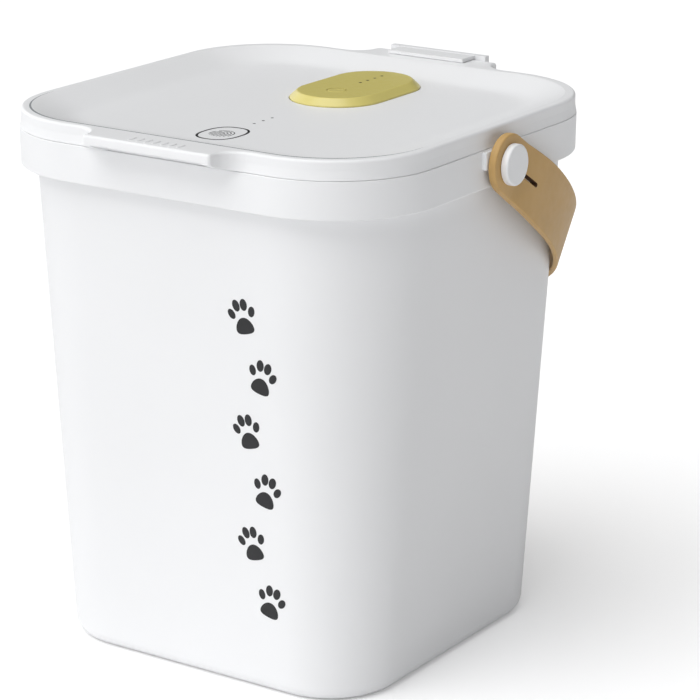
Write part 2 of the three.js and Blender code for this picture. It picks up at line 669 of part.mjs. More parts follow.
function pumpTray() {
  const outer = prism(stadium(PUMP_BODY_R), TRAY_BOTTOM, TRAY_TOP);
  const inner = prism(stadium(PUMP_BODY_R - PUMP_WALL), TRAY_BOTTOM + TRAY_FLOOR, TRAY_TOP + 1);
  const under = TRAY_BOTTOM - 1;
  const bosses = PUMP_BOSSES.map((y) => rodZ(BOSS_R, under + 2, TRAY_TOP, 0, y));
  const screwHoles = PUMP_BOSSES.map((y) => rodZ(PILOT_R, under, TRAY_TOP + 1, 0, y, 12));
  const headHoles = PUMP_BOSSES.map((y) => rodZ(HEAD_R + 0.1, under, PUMP_HEAD_SEAT, 0, y, 12));
  const port = rodZ(NOZZLE_R + FIT, under, TRAY_BOTTOM + TRAY_FLOOR + 2, ...PORT);
  const socketHole = socketBox(FIT, PUMP_BODY_R + 5);
  return cut(join(cut(outer, inner), ...bosses), port, socketHole, ...screwHoles, ...headHoles);
}

// The charging socket sits in the right side of the tray; grow makes the hole for it.
function socketBox(grow, outer) {
  const half = SOCKET.half + grow;
  return box(SOCKET.inner - grow, outer, PUMP_Y - half, PUMP_Y + half, SOCKET.z0 - grow, SOCKET.z1 + grow);
}

addPart("pump_cover", pumpCover(), YELLOW);
addPart("pump_tray", pumpTray(), GREY);
for (const [i, name] of ["front", "rear"].entries()) {
  const y = PUMP_BOSSES[i];
  const headTop = PUMP_HEAD_SEAT - FIT;
  const head = rodZ(HEAD_R - 0.3, headTop - 2.1, headTop, 0, y, 12);
  const shaft = rodZ(SHAFT_R, headTop - 1, PANEL_Z + 0.2, 0, y, 12);
  addPart(`pump_screw_${name}`, join(head, shaft), STEEL);
}

addPart("pump_motor", rodY(MOTOR.radius, MOTOR.y0, MOTOR.y1, PORT[0], MOTOR.z), STEEL);
const pumpHead = join(
  box(PORT[0] - 9.5, PORT[0] + 9.5, MOTOR.y1 + 1, PORT[1] + 10, MOTOR.z - 10, MOTOR.z + 10),
  rodZ(NOZZLE_R, TRAY_BOTTOM + 0.5, MOTOR.z - 9, ...PORT),
);
addPart("pump_head", pumpHead, DARK);
addPart("battery_cell", rodY(CELL.radius, CELL.y0, CELL.y1, CELL.x, CELL.z), GREEN);
addPart("usb_socket", socketBox(0, PUMP_BODY_R - 0.2), STEEL);

const pumpBoard = join(
  box(-BOARD_HALF, BOARD_HALF, ...BOARD_YS, BOARD_Z, BOARD_Z + BOARD_THICK),
  box(-SWITCH_HALF, SWITCH_HALF, BUTTON_Y - SWITCH_HALF, BUTTON_Y + SWITCH_HALF, BOARD_Z + 1, BOARD_Z + 2),
);
addPart("pump_board", pumpBoard, GREEN);
for (const [i, y] of LEVEL_YS.entries()) {
  const pipe = rodZ(LIGHT_R, BOARD_Z + BOARD_THICK + FIT, PUMP_TOP_Z, 0, y, 12);
  addPart(`level_light_${i + 1}`, pipe, DARK);
}

const portSeal = cut(
  rodZ(SEAL_R, WELL_FLOOR + FIT, TRAY_BOTTOM - FIT, ...PORT, 24),
  rodZ(SEAL_R - 1.8, WELL_FLOOR - 1, TRAY_BOTTOM + 1, ...PORT, 24),
);
addPart("port_seal", portSeal, RUBBER);

const buttonLow = BOARD_Z + 2.9;
const button = join(
  rodZ(BUTTON_R, buttonLow, PUMP_TOP_Z, 0, BUTTON_Y, 24),
  rodZ(BUTTON_R + 1.2, buttonLow + 0.5, buttonLow + 1.7, 0, BUTTON_Y, 24),
);
addPart("release_button", button, YELLOW);

export default bin;
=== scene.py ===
"""Looks for the pet food bin: smooth shells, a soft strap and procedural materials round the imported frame.

Lengths are millimetres in the frame's axes (front -Y, up +Z); new_mesh() turns them into metres.
"""
import math

import bmesh
import bpy
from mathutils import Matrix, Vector


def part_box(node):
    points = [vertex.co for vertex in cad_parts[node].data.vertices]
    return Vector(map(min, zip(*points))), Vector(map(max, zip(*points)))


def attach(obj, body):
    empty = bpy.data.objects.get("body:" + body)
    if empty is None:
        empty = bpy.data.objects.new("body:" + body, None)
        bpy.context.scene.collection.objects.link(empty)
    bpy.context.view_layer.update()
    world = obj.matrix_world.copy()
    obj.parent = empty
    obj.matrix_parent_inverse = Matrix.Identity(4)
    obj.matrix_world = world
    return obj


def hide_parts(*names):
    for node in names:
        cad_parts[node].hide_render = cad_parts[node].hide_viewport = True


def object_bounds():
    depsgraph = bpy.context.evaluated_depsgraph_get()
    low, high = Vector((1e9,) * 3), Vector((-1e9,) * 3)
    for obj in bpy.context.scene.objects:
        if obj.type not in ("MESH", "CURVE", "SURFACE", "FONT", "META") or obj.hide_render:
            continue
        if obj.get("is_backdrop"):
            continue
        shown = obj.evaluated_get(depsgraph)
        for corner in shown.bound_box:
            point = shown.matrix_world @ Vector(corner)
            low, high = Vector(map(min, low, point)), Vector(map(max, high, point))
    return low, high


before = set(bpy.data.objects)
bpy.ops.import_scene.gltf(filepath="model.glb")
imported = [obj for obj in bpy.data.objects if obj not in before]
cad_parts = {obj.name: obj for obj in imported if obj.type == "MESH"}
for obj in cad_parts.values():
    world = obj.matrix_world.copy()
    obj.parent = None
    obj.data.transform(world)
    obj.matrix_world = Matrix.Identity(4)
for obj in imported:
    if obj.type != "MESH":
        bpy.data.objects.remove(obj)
cad_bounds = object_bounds()

MM = 0.001
QUARTER = math.pi / 2


def cad(node):
    """Lowest and highest corner of a CAD node, in millimetres."""
    low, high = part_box(node)
    return Vector(low) / MM, Vector(high) / MM


# -------------------- sizes taken from the frame

COLLAR_LOW, COLLAR_HIGH = cad("rim_collar")
LINER_LOW, LINER_HIGH = cad("lid_liner")
GASKET_LOW, GASKET_HIGH = cad("lid_gasket")
COVER_LOW, COVER_HIGH = cad("pump_cover")
TRAY_LOW, TRAY_HIGH = cad("pump_tray")
BUTTON_LOW, BUTTON_HIGH = cad("release_button")
PIN_LOW, PIN_HIGH = cad("hinge_pin")
CAP_LOW, CAP_HIGH = cad("strap_cap_right")

BUCKET_TOP = cad("bucket")[1].z
COLLAR_BOTTOM = COLLAR_LOW.z
COLLAR_TOP = COLLAR_HIGH.z
PAD_X = COLLAR_HIGH.x
LID_TOP = cad("lid_shell")[1].z
LIP_OUT = cad("lid_shell")[1].y
HINGE_Y = (PIN_LOW.y + PIN_HIGH.y) / 2
HINGE_Z = (PIN_LOW.z + PIN_HIGH.z) / 2
PIVOT_Z = (CAP_LOW.z + CAP_HIGH.z) / 2
CAP_R = (CAP_HIGH.z - CAP_LOW.z) / 2
PUMP_Y = (COVER_LOW.y + COVER_HIGH.y) / 2
PUMP_BASE_R = COVER_HIGH.x
PUMP_STRAIGHT = (COVER_HIGH.y - COVER_LOW.y) / 2 - PUMP_BASE_R
PUMP_TOP = COVER_HIGH.z
BUTTON_Y = (BUTTON_LOW.y + BUTTON_HIGH.y) / 2

# -------------------- sizes of the moulded shells

# Bucket: half width and corner radius grow with height.
BASE_HALF = 102.5
BASE_CORNER = 41
BASE_FILLET = 7.7
DRAFT = 0.0605  # half width gained per mm of height
CORNER_DRAFT = 0.069  # corner radius gained per mm of height
BUCKET_WALL = 2.4
BUCKET_FLOOR = 3

# Collar, and the pad on it that each end of the strap turns against.
COLLAR_HALF = 125.2
COLLAR_CORNER = 61
PAD_IN = 123
PAD_HALF = 17
PAD_R = 8.4
PAD_BOTTOM = 279.5

# Lid shell: skirt, rim, sunk dish and the lips at the front and the rear.
LID_HALF = 124.4
LID_CORNER = 58
LID_TAPER = 0.7  # how much narrower the skirt is at its top
SKIRT_BOTTOM = COLLAR_TOP + 0.15
SKIRT_WALL = 2.3
SKIRT_EDGE = 0.3
EDGE_ROUND = 1.6
DISH_HALF = 118.5
DISH_CORNER = 54
DISH_WIDTH = 28
DISH_TOE = 0.4  # share of the dish wall that eases into the panel
PANEL_Z = 293.2
PANEL_THICK = 2.2
SEAT_DEPTH = 1  # of the pump cover's seat in the panel
SEAT_GAP = 0.4
LIP_HALF = 40.5
LIP_THICK = 5.4
LIP_CHEEK = 5.6  # thickness of a lip's swept ends
LIP_BLEND = 13
LIP_ROUND = 2
# Painted shade: a grey strip along the front of the rim's inner edge, where the dish's wall falls out of
# sight.
RIM_SHADE_WIDTH = 0.9
RIM_SHADE_FADE = (50, 118)  # distance in front of the middle over which the painted shade line grows

# Printed and raised marks.
MARK_Y = -72
PRINT_PROUD = 0.06
RIB_COUNT = 7
RIB_START = -12.9
RIB_STEP = 5.1
RIB_Y = -132.2
PAW_COUNT = 6
PAW_XS = (53, 43)
PAW_START = 52
PAW_STEP = 31.5
PAW_TURN = 14

# Liner, gasket and plug ring under the lid.
FLANGE_HALF = 121.8
FLANGE_CORNER = 56
FLANGE_BOTTOM = 290
PLUG_INSET = 5.7
PLUG_WALL = 2.2
PLUG_BOTTOM = 281
PLATE_TOP = 286.4
PLATE_BOTTOM = 284.4
WELL_R = 24.2
WELL_WALL = 2
GASKET_INSET = 0.5
GASKET_WIDTH = 3.6

# Pump module: a stadium outline along Y.
PUMP_TOP_R = 22.5
PUMP_BODY_R = 23.2
PUMP_WALL = 1.8
BOSS_YS = (PUMP_Y - 33.5, PUMP_Y + 33.5)
BOSS_R = 4
PILOT_R = 1.5
HEAD_HOLE_R = 2.9
HEAD_SEAT = 281  # top of the screw head holes in the tray
NOZZLE_HOLE_R = 3
BUTTON_R = 5.2
BUTTON_GAP = 0.4
LIGHT_R = 0.85

# Strap handle: beyond a short straight run the outer face follows a curve to the middle of the loop.
STRAP_TILT = math.radians(33.5)  # below level, towards the back
STRAP_X = 132  # half width of the outer face at the pivots
STRAP_STRAIGHT = 12
STRAP_SIDE = (142.5, 82)  # curve handle beside the pivot: half width and reach
STRAP_TURN = 100  # half width of the curve handle beside the middle
STRAP_REACH = 181.5  # from the pivots to the middle of the loop
STRAP_THICK = 4.5  # at the pivots
STRAP_THIN = 3  # round the back
STRAP_THINNING = (35, 85)  # distance from the pivots over which it thins
STRAP_END_R = 16
STRAP_HALF = 17.7  # half the strap's width beyond the flare
STRAP_FLARE = 50  # distance over which it widens
STRAP_EDGE = 0.9
SLIT_LENGTH = 30
SLIT_HALF = 1.25
BUSH_R = 5
CAP_HOLE_R = 5.3
CAP_HOLE_END = 134.7

# Hinge behind the lid.
HINGE_HALF = 32
KNUCKLE_R = 5
KNUCKLE_HALF = 20
EAR_THICK = 5.7
PIN_BORE_R = 2.08
BRACKET_FACE = 128.6
LEAF_HALF = 25
LEAF_FRONT = 126

GAP = 0.3

# -------------------- mesh helpers


def add_object(name, data):
    thing = bpy.data.objects.new(name, data)
    bpy.context.scene.collection.objects.link(thing)
    return thing


def new_mesh(name, vertices, faces, smooth_angle=38):
    mesh = bpy.data.meshes.new(name)
    mesh.from_pydata([tuple(c * MM for c in v) for v in vertices], [], faces)
    body = bmesh.new()
    body.from_mesh(mesh)
    bmesh.ops.remove_doubles(body, verts=body.verts, dist=1e-6)
    bmesh.ops.dissolve_degenerate(body, edges=body.edges, dist=1e-7)
    bmesh.ops.recalc_face_normals(body, faces=body.faces)
    body.to_mesh(mesh)
    body.free()
    mesh.shade_smooth()
    mesh.set_sharp_from_angle(angle=math.radians(smooth_angle))
    return add_object(name, mesh)


def skin(name, rings, loop=False, caps=True, smooth_angle=38):
    """A closed surface through rings of points. A stack that isn't a loop gets a flat cap at each end."""
    count = len(rings[0])
    vertices = [point for ring in rings for point in ring]
    faces = []
    spans = len(rings) if loop else len(rings) - 1
    for level in range(spans):
        here = level * count
        above = ((level + 1) % len(rings)) * count
        for i in range(count):
            j = (i + 1) % count
            faces.append((here + i, here + j, above + j, above + i))
    if caps and not loop:
        last = (len(rings) - 1) * count
        faces.append(tuple(range(count)))
        faces.append(tuple(last + i for i in range(count)))
    return new_mesh(name, vertices, faces, smooth_angle)


def at(outline, z):
    return [(x, y, z) for x, y in outline]


def arc(centre_x, centre_y, radius, start, end, steps):
    """Points on an arc, both ends included; angles in quarter turns."""
    points = []
    for step in range(steps + 1):
        angle = (start + (end - start) * step / steps) * QUARTER
        points.append((centre_x + radius * math.cos(angle), centre_y + radius * math.sin(angle)))
    return points


def turned(points, quarters):
    """Points turned about the Z axis by whole quarter turns."""
    c = round(math.cos(quarters * QUARTER))
    s = round(math.sin(quarters * QUARTER))
    return [(c * x - s * y, s * x + c * y) for x, y in points]


def square(half, corner, corner_steps=16, side_steps=6):
    """A square with rounded corners, anticlockwise from the lower end of the right side."""
    reach = half - corner
    side = [(half, reach * (2 * step / side_steps - 1)) for step in range(side_steps)]
    quarter = side + arc(reach, reach, corner, 0, 1, corner_steps)[:-1]
    return [point for turn in range(4) for point in turned(quarter, turn)]


def stadium(radius, steps=28):
    ends = arc(0, PUMP_Y + PUMP_STRAIGHT, radius, 0, 2, steps)
    return ends + arc(0, PUMP_Y - PUMP_STRAIGHT, radius, 2, 4, steps)


def smooth_step(value, low, high):
    t = min(max((value - low) / (high - low), 0), 1)
    return t * t * (3 - 2 * t)


def round_edge(radius, steps=5):
    """(inset, drop) pairs for a rounded edge, from its side to its face."""
    pairs = []
    for step in range(steps + 1):
        angle = step / steps * QUARTER
        pairs.append((radius * (1 - math.cos(angle)), radius * (1 - math.sin(angle))))
    return pairs


def lathe(name, profile, centre, axis="z", steps=64):
    """Turns (radius, height) points about an axis through centre; the profile starts and ends on it."""
    rings = []
    for radius, height in profile:
        ring = []
        for step in range(steps):
            angle = step / steps * 4 * QUARTER
            u = max(radius, 1e-4) * math.cos(angle)
            v = max(radius, 1e-4) * math.sin(angle)
            local = {"x": (height, u, v), "y": (v, height, u), "z": (u, v, height)}[axis]
            ring.append(tuple(a + b for a, b in zip(centre, local)))
        rings.append(ring)
    return skin(name, rings)


def cylinder(name, centre, axis, radius, low, high, steps=32):
    return lathe(name, [(0, low), (radius, low), (radius, high), (0, high)], centre, axis, steps)


def cylinder_z(name, x, y, radius, low, high, steps=32):
    return cylinder(name, (x, y, 0), "z", radius, low, high, steps)


def block(name, low, high):
    corners = [(x, y, z) for x in (low[0], high[0]) for y in (low[1], high[1]) for z in (low[2], high[2])]
    faces = [(0, 1, 3, 2), (4, 6, 7, 5), (0, 4, 5, 1), (2, 3, 7, 6), (0, 2, 6, 4), (1, 5, 7, 3)]
    return new_mesh(name, corners, faces)


def prism(name, outline, low, high):
    """An outline of (y, z) points extruded along X."""
    return skin(name, [[(x, y, z) for y, z in outline] for x in (low, high)])


def combine(piece, tools, operation):
    """Joins or cuts piece with tools, keeps the result as plain mesh and deletes the tools."""
    for tool in tools:
        modifier = piece.modifiers.new(operation, "BOOLEAN")
        modifier.operation = operation
        modifier.solver = "EXACT"
        modifier.object = tool
    bake(piece)
    for tool in tools:
        bpy.data.objects.remove(tool)
    return piece


def bake(piece):
    """Applies every modifier."""
    graph = bpy.context.evaluated_depsgraph_get()
    mesh = bpy.data.meshes.new_from_object(piece.evaluated_get(graph))
    piece.modifiers.clear()
    piece.data = mesh


def soften(piece, width, segments=3, angle=35):
    """Rounds the sharp edges of a piece."""
    modifier = piece.modifiers.new("round", "BEVEL")
    modifier.width = width * MM
    modifier.segments = segments
    modifier.limit_method = "ANGLE"
    modifier.angle_limit = math.radians(angle)
    bake(piece)
    piece.data.shade_smooth()
    piece.data.set_sharp_from_angle(angle=math.radians(angle))
    return piece


# The slot of each material that isn't named after its slot.
SLOTS = {"zinc_steel": "steel", "strap_tan": "strap", "print_ink": "dark_plastic"}


def finish_piece(piece, body, material, *nodes):
    """Evens the shading of flat faces, then gives the piece its material and body."""
    weights = piece.modifiers.new("even", "WEIGHTED_NORMAL")
    weights.keep_sharp = True
    bake(piece)
    piece.data.materials.clear()
    piece.data.materials.append(material)
    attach(piece, body)
    # Blender numbers a name that the CAD's own materials already use.
    name = material.name.split(".")[0]
    SLOTS.get(name, name)
    if nodes:
        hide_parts(*nodes)
    return piece


# -------------------- materials


def map_range(tree, value, low, high, start, end):
    """Maps a socket's value from start..end to low..high."""
    node = tree.nodes.new("ShaderNodeMapRange")
    node.inputs["From Min"].default_value = start
    node.inputs["From Max"].default_value = end
    node.inputs["To Min"].default_value = low
    node.inputs["To Max"].default_value = high
    tree.links.new(value, node.inputs["Value"])
    return node.outputs["Result"]


class Nodes:
    """A short way to write a Principled material."""

    def __init__(self, name, color, roughness, metallic=0.0):
        self.material = bpy.data.materials.new(name)
        self.material.use_nodes = True
        self.tree = self.material.node_tree
        self.shader = self.tree.nodes["Principled BSDF"]
        self.shader.inputs["Base Color"].default_value = (*color, 1)
        self.shader.inputs["Roughness"].default_value = roughness
        self.shader.inputs["Metallic"].default_value = metallic
        self.place = self.tree.nodes.new("ShaderNodeTexCoord").outputs["Object"]
        self.color = color
        self.normal = None

    def noise(self, scale, detail=3.0, roughness=0.5, stretch=(1, 1, 1)):
        mapping = self.tree.nodes.new("ShaderNodeMapping")
        mapping.inputs["Scale"].default_value = stretch
        self.tree.links.new(self.place, mapping.inputs["Vector"])
        texture = self.tree.nodes.new("ShaderNodeTexNoise")
        texture.inputs["Scale"].default_value = scale
        texture.inputs["Detail"].default_value = detail
        texture.inputs["Roughness"].default_value = roughness
        self.tree.links.new(mapping.outputs["Vector"], texture.inputs["Vector"])
        return texture.outputs["Fac"]

    def cells(self, scale):
        texture = self.tree.nodes.new("ShaderNodeTexVoronoi")
        texture.inputs["Scale"].default_value = scale
        self.tree.links.new(self.place, texture.inputs["Vector"])
        return texture.outputs["Distance"]

    def ramp(self, value, low, high, start=0.3, end=0.7):
        return map_range(self.tree, value, low, high, start, end)

    def shade(self, value, amount):
        """Varies the base colour by plus or minus amount."""
        factor = self.ramp(value, 1 - amount, 1 + amount)
        mix = self.tree.nodes.new("ShaderNodeVectorMath")
        mix.operation = "SCALE"
        mix.inputs[0].default_value = self.color
        self.tree.links.new(factor, mix.inputs["Scale"])
        self.tree.links.new(mix.outputs[0], self.shader.inputs["Base Color"])

    def rough(self, value, low, high):
        self.tree.links.new(self.ramp(value, low, high), self.shader.inputs["Roughness"])

    def bump(self, value, depth_mm, strength=1.0):
        node = self.tree.nodes.new("ShaderNodeBump")
        node.inputs["Strength"].default_value = strength
        node.inputs["Distance"].default_value = depth_mm * MM
        self.tree.links.new(value, node.inputs["Height"])
        if self.normal is not None:
            self.tree.links.new(self.normal, node.inputs["Normal"])
        self.normal = node.outputs["Normal"]
        self.tree.links.new(self.normal, self.shader.inputs["Normal"])

    def set(self, name, value):
        self.shader.inputs[name].default_value = value


def moulded(name, color, roughness, grain=0.012, variation=0.008, coat=0.0):
    """Injection-moulded plastic: fine spark texture, faint flow variation."""
    nodes = Nodes(name, color, roughness)
    flow = nodes.noise(9, detail=2)
    nodes.shade(flow, variation)
    nodes.rough(nodes.noise(300, detail=2), roughness - 0.04, roughness + 0.04)
    nodes.bump(nodes.noise(1800, detail=2, roughness=0.6), grain, 0.6)
    nodes.set("IOR", 1.48)
    nodes.set("Coat Weight", coat)
    nodes.set("Coat Roughness", 0.25)
    return nodes.material


def metal(name, color, roughness):
    nodes = Nodes(name, color, roughness, metallic=1.0)
    brushed = nodes.noise(900, detail=4, stretch=(1, 1, 8))
    nodes.rough(brushed, roughness - 0.08, roughness + 0.1)
    nodes.shade(nodes.noise(120), 0.05)
    nodes.bump(brushed, 0.006, 0.5)
    return nodes.material


def strap_material():
    """Smooth coated strap: fine grain, soft mottling and a slight sheen."""
    nodes = Nodes("strap_tan", (0.545, 0.34, 0.122), 0.55)
    mottle = nodes.noise(60, detail=5, roughness=0.6)
    nodes.shade(mottle, 0.035)
    nodes.rough(nodes.noise(220, detail=3), 0.5, 0.62)
    nodes.bump(nodes.cells(1100), 0.03, 0.35)
    nodes.bump(nodes.noise(500, detail=4), 0.02, 0.4)
    nodes.set("Sheen Weight", 0.12)
    nodes.set("Sheen Roughness", 0.4)
    return nodes.material


def slit_shade_material():
    """Fibre grain on the cut faces inside the strap's slits, coloured near black as painted shade for the
    slits' depth.
    """
    nodes = Nodes("strap_slit_shade", (0.1, 0.045, 0.018), 0.85)
    fibres = nodes.noise(900, detail=5, stretch=(1, 4, 1))
    nodes.shade(fibres, 0.25)
    nodes.bump(fibres, 0.08, 0.7)
    return nodes.material


def ink_material():
    nodes = Nodes("print_ink", (0.012, 0.012, 0.014), 0.5)
    nodes.shade(nodes.noise(200), 0.15)
    nodes.bump(nodes.noise(1500), 0.004, 0.5)
    return nodes.material


WHITE = moulded("white_plastic", (0.845, 0.85, 0.86), 0.42)
LINER = moulded("liner_plastic", (0.8, 0.805, 0.815), 0.46)
YELLOW = moulded("yellow_plastic", (0.7, 0.61, 0.19), 0.42, grain=0.01, coat=0.5)
GREY = moulded("grey_plastic", (0.27, 0.285, 0.3), 0.48)
DARK = moulded("dark_plastic", (0.02, 0.02, 0.022), 0.3, grain=0.004)
BOARD = moulded("solder_mask", (0.02, 0.14, 0.07), 0.35, variation=0.1)
WRAP = moulded("cell_wrap", (0.02, 0.16, 0.08), 0.25, grain=0.004)
SILICONE = moulded("silicone", (0.62, 0.63, 0.64), 0.6, grain=0.008)
STEEL = metal("zinc_steel", (0.62, 0.63, 0.65), 0.32)
STRAP = strap_material()
# Near-black fibre material for the slits' cut faces: painted shade.
SLIT_SHADE = slit_shade_material()
INK = ink_material()

# -------------------- bucket and collar


def bucket_outline(z, inset=0.0):
    rise = z - BASE_FILLET
    half = BASE_HALF + DRAFT * rise - inset
    corner = BASE_CORNER + CORNER_DRAFT * rise - inset
    return square(half, corner)


def build_bucket():
    rings = []
    for inset, drop in reversed(round_edge(BASE_FILLET, 8)):
        rings.append(at(bucket_outline(BASE_FILLET, inset), drop))
    levels = 8
    for level in range(1, levels + 1):
        z = BASE_FILLET + (BUCKET_TOP - 1 - BASE_FILLET) * level / levels
        rings.append(at(bucket_outline(z), z))
    lip = BUCKET_WALL / 2
    for inset, drop in round_edge(lip, 4)[1:]:
        rings.append(at(bucket_outline(BUCKET_TOP, inset), BUCKET_TOP - drop))
    for inset, drop in reversed(round_edge(lip, 4)[:-1]):
        rings.append(at(bucket_outline(BUCKET_TOP, BUCKET_WALL - inset), BUCKET_TOP - drop))
    inner_fillet = 12
    floor_start = BUCKET_FLOOR + inner_fillet
    for level in range(levels - 1, -1, -1):
        z = floor_start + (BUCKET_TOP - 2 - floor_start) * level / levels
        rings.append(at(bucket_outline(z, BUCKET_WALL), z))
    for inset, drop in round_edge(inner_fillet, 8)[1:]:
        rings.append(at(bucket_outline(floor_start, BUCKET_WALL + inset), BUCKET_FLOOR + drop))
    return skin("bucket_shell", rings)


finish_piece(build_bucket(), "bin", WHITE, "bucket")


def build_collar():
    rings = []
    lower = 0.9
    upper = 0.5
    for inset, drop in reversed(round_edge(lower, 4)):
        rings.append(at(square(COLLAR_HALF - inset, COLLAR_CORNER), COLLAR_BOTTOM + drop))
    for inset, drop in round_edge(upper, 4):
        outline = square(COLLAR_HALF - 0.4 - inset, COLLAR_CORNER - 2)
        rings.append(at(outline, COLLAR_TOP - drop))
    top_steps = [(COLLAR_TOP, 1.2, 0), (COLLAR_TOP, 0.3, -0.9)]
    bottom_steps = [(COLLAR_BOTTOM, 0.3, 0.3), (COLLAR_BOTTOM, 0.6, 0)]
    for z, gap, rise in top_steps + bottom_steps:
        rings.append(at(bucket_outline(z, -gap), z + rise))
    return skin("collar_band", rings, loop=True)


finish_piece(build_collar(), "bin", WHITE, "rim_collar")


def build_pad(side, name):
    """The raised pad on the collar that the strap turns against."""
    top = COLLAR_TOP - 0.6
    outline = [(-PAD_HALF, top), (-PAD_HALF, PAD_BOTTOM), (-PAD_R, PAD_BOTTOM)]
    outline += [(y, PIVOT_Z + z) for y, z in arc(0, 0, PAD_R, 2, 4, 20)][1:-1]
    outline += [(PAD_R, PAD_BOTTOM), (PAD_HALF, PAD_BOTTOM), (PAD_HALF, top)]
    inner, outer = sorted((side * PAD_IN, side * PAD_X))
    pad = prism(f"collar_pad_{name}", outline, inner, outer)
    return soften(pad, 0.7)


for side, name in ((-1, "left"), (1, "right")):
    finish_piece(build_pad(side, name), "bin", WHITE)

# -------------------- lid shell


def lip_side(half, inset, mode, limit):
    """One side of the lid with a lip, as (along, out) points going from -along to +along.

    Every mode gives the same number of points: plain leaves the lip out, full draws it, and cheeks
    draws only its two ends, cut off at limit.
    """
    out = LIP_OUT - inset
    edge_in = LIP_HALF - LIP_ROUND
    turn_in = LIP_HALF + LIP_BLEND
    wall = half + inset + LIP_BLEND
    cheek = LIP_HALF - LIP_CHEEK
    blend = arc(-turn_in, wall, LIP_BLEND + inset, 3, 4, 14)
    nose = arc(-edge_in, out - LIP_ROUND + inset, LIP_ROUND - inset, 2, 1, 8)
    start = [(-turn_in - 0.3, half), *blend, *nose, (-cheek - 0.3, out), (-cheek, out)]
    middle_steps = 8
    middle = [(cheek * (2 * k / middle_steps - 1), out) for k in range(1, middle_steps)]
    full = start + [(-cheek + 0.05, out)] + middle + [(cheek - 0.05, out)]
    full += [(-x, y) for x, y in reversed(start)]
    if mode == "full":
        return full
    if mode == "cheeks":
        return [(x, half if abs(x) < cheek - 0.01 else min(y, limit)) for x, y in full]
    return [(x, half) for x, y in full]


def lid_outline(inset, corner_inset=None, mode="plain", limit=LIP_OUT):
    half = LID_HALF - inset
    corner = LID_CORNER - (inset if corner_inset is None else corner_inset)
    reach = half - corner
    side_steps = 6
    plain_side = [(half, reach * (2 * k / side_steps - 1)) for k in range(side_steps)]
    bend = arc(reach, reach, corner, 0, 1, 18)[:-1]
    lip_inset = 0 if mode == "plain" else max(inset - LID_TAPER, 0)
    lip = [(y, -x) for x, y in lip_side(half, lip_inset, mode, limit)]
    lipped = [(half, -reach)] + [(y, -x) for y, x in lip]
    first = plain_side + bend
    second = lipped + bend
    outline = []
    for turn in range(4):
        outline += turned(second if turn % 2 else first, turn)
    return outline


def stadium_facing(outline, radius):
    """The stadium's points that lie towards each point of outline, seen from the pump's centre."""
    points = []
    for x, y in outline:
        dx, dy = x, y - PUMP_Y
        reach = radius / abs(dx) if abs(dx) > 1e-9 else 1e9
        if abs(reach * dy) > PUMP_STRAIGHT:
            centre = math.copysign(PUMP_STRAIGHT, dy)
            a = dx * dx + dy * dy
            b = -2 * dy * centre
            c = centre * centre - radius * radius
            reach = (-b + math.sqrt(b * b - 4 * a * c)) / (2 * a)
        points.append((reach * dx, PUMP_Y + reach * dy))
    return points


def dish_level(inside):
    """Height of the sunk panel's surface at a distance inside the rim."""
    t = max(1 - inside / DISH_WIDTH, 0)
    toe = min(t, DISH_TOE)
    climb = (toe * toe / (2 * DISH_TOE) + t - toe) / (1 - DISH_TOE / 2)
    return PANEL_Z + (LID_TOP - PANEL_Z) * climb


def dish_ring(inside, thick=0.0):
    half = DISH_HALF - inside + thick
    corner = DISH_CORNER - inside + thick
    return at(lid_outline(LID_HALF - half, LID_CORNER - corner), dish_level(inside) - thick)


def on_panel(points):
    """Points of the panel at their height: flat in the middle, rising towards the rim."""
    reach = DISH_HALF - DISH_CORNER
    placed = []
    for x, y in points:
        beyond_x = abs(x) - reach
        beyond_y = abs(y) - reach
        if min(beyond_x, beyond_y) > 0:
            inside = DISH_CORNER - math.hypot(beyond_x, beyond_y)
        else:
            inside = DISH_CORNER - max(beyond_x, beyond_y)
        placed.append((x, y, dish_level(inside)))
    return placed


def between(start, end, share):
    """The outline part of the way from one outline to another."""
    return [(a + (c - a) * share, b + (d - b) * share) for (a, b), (c, d) in zip(start, end)]


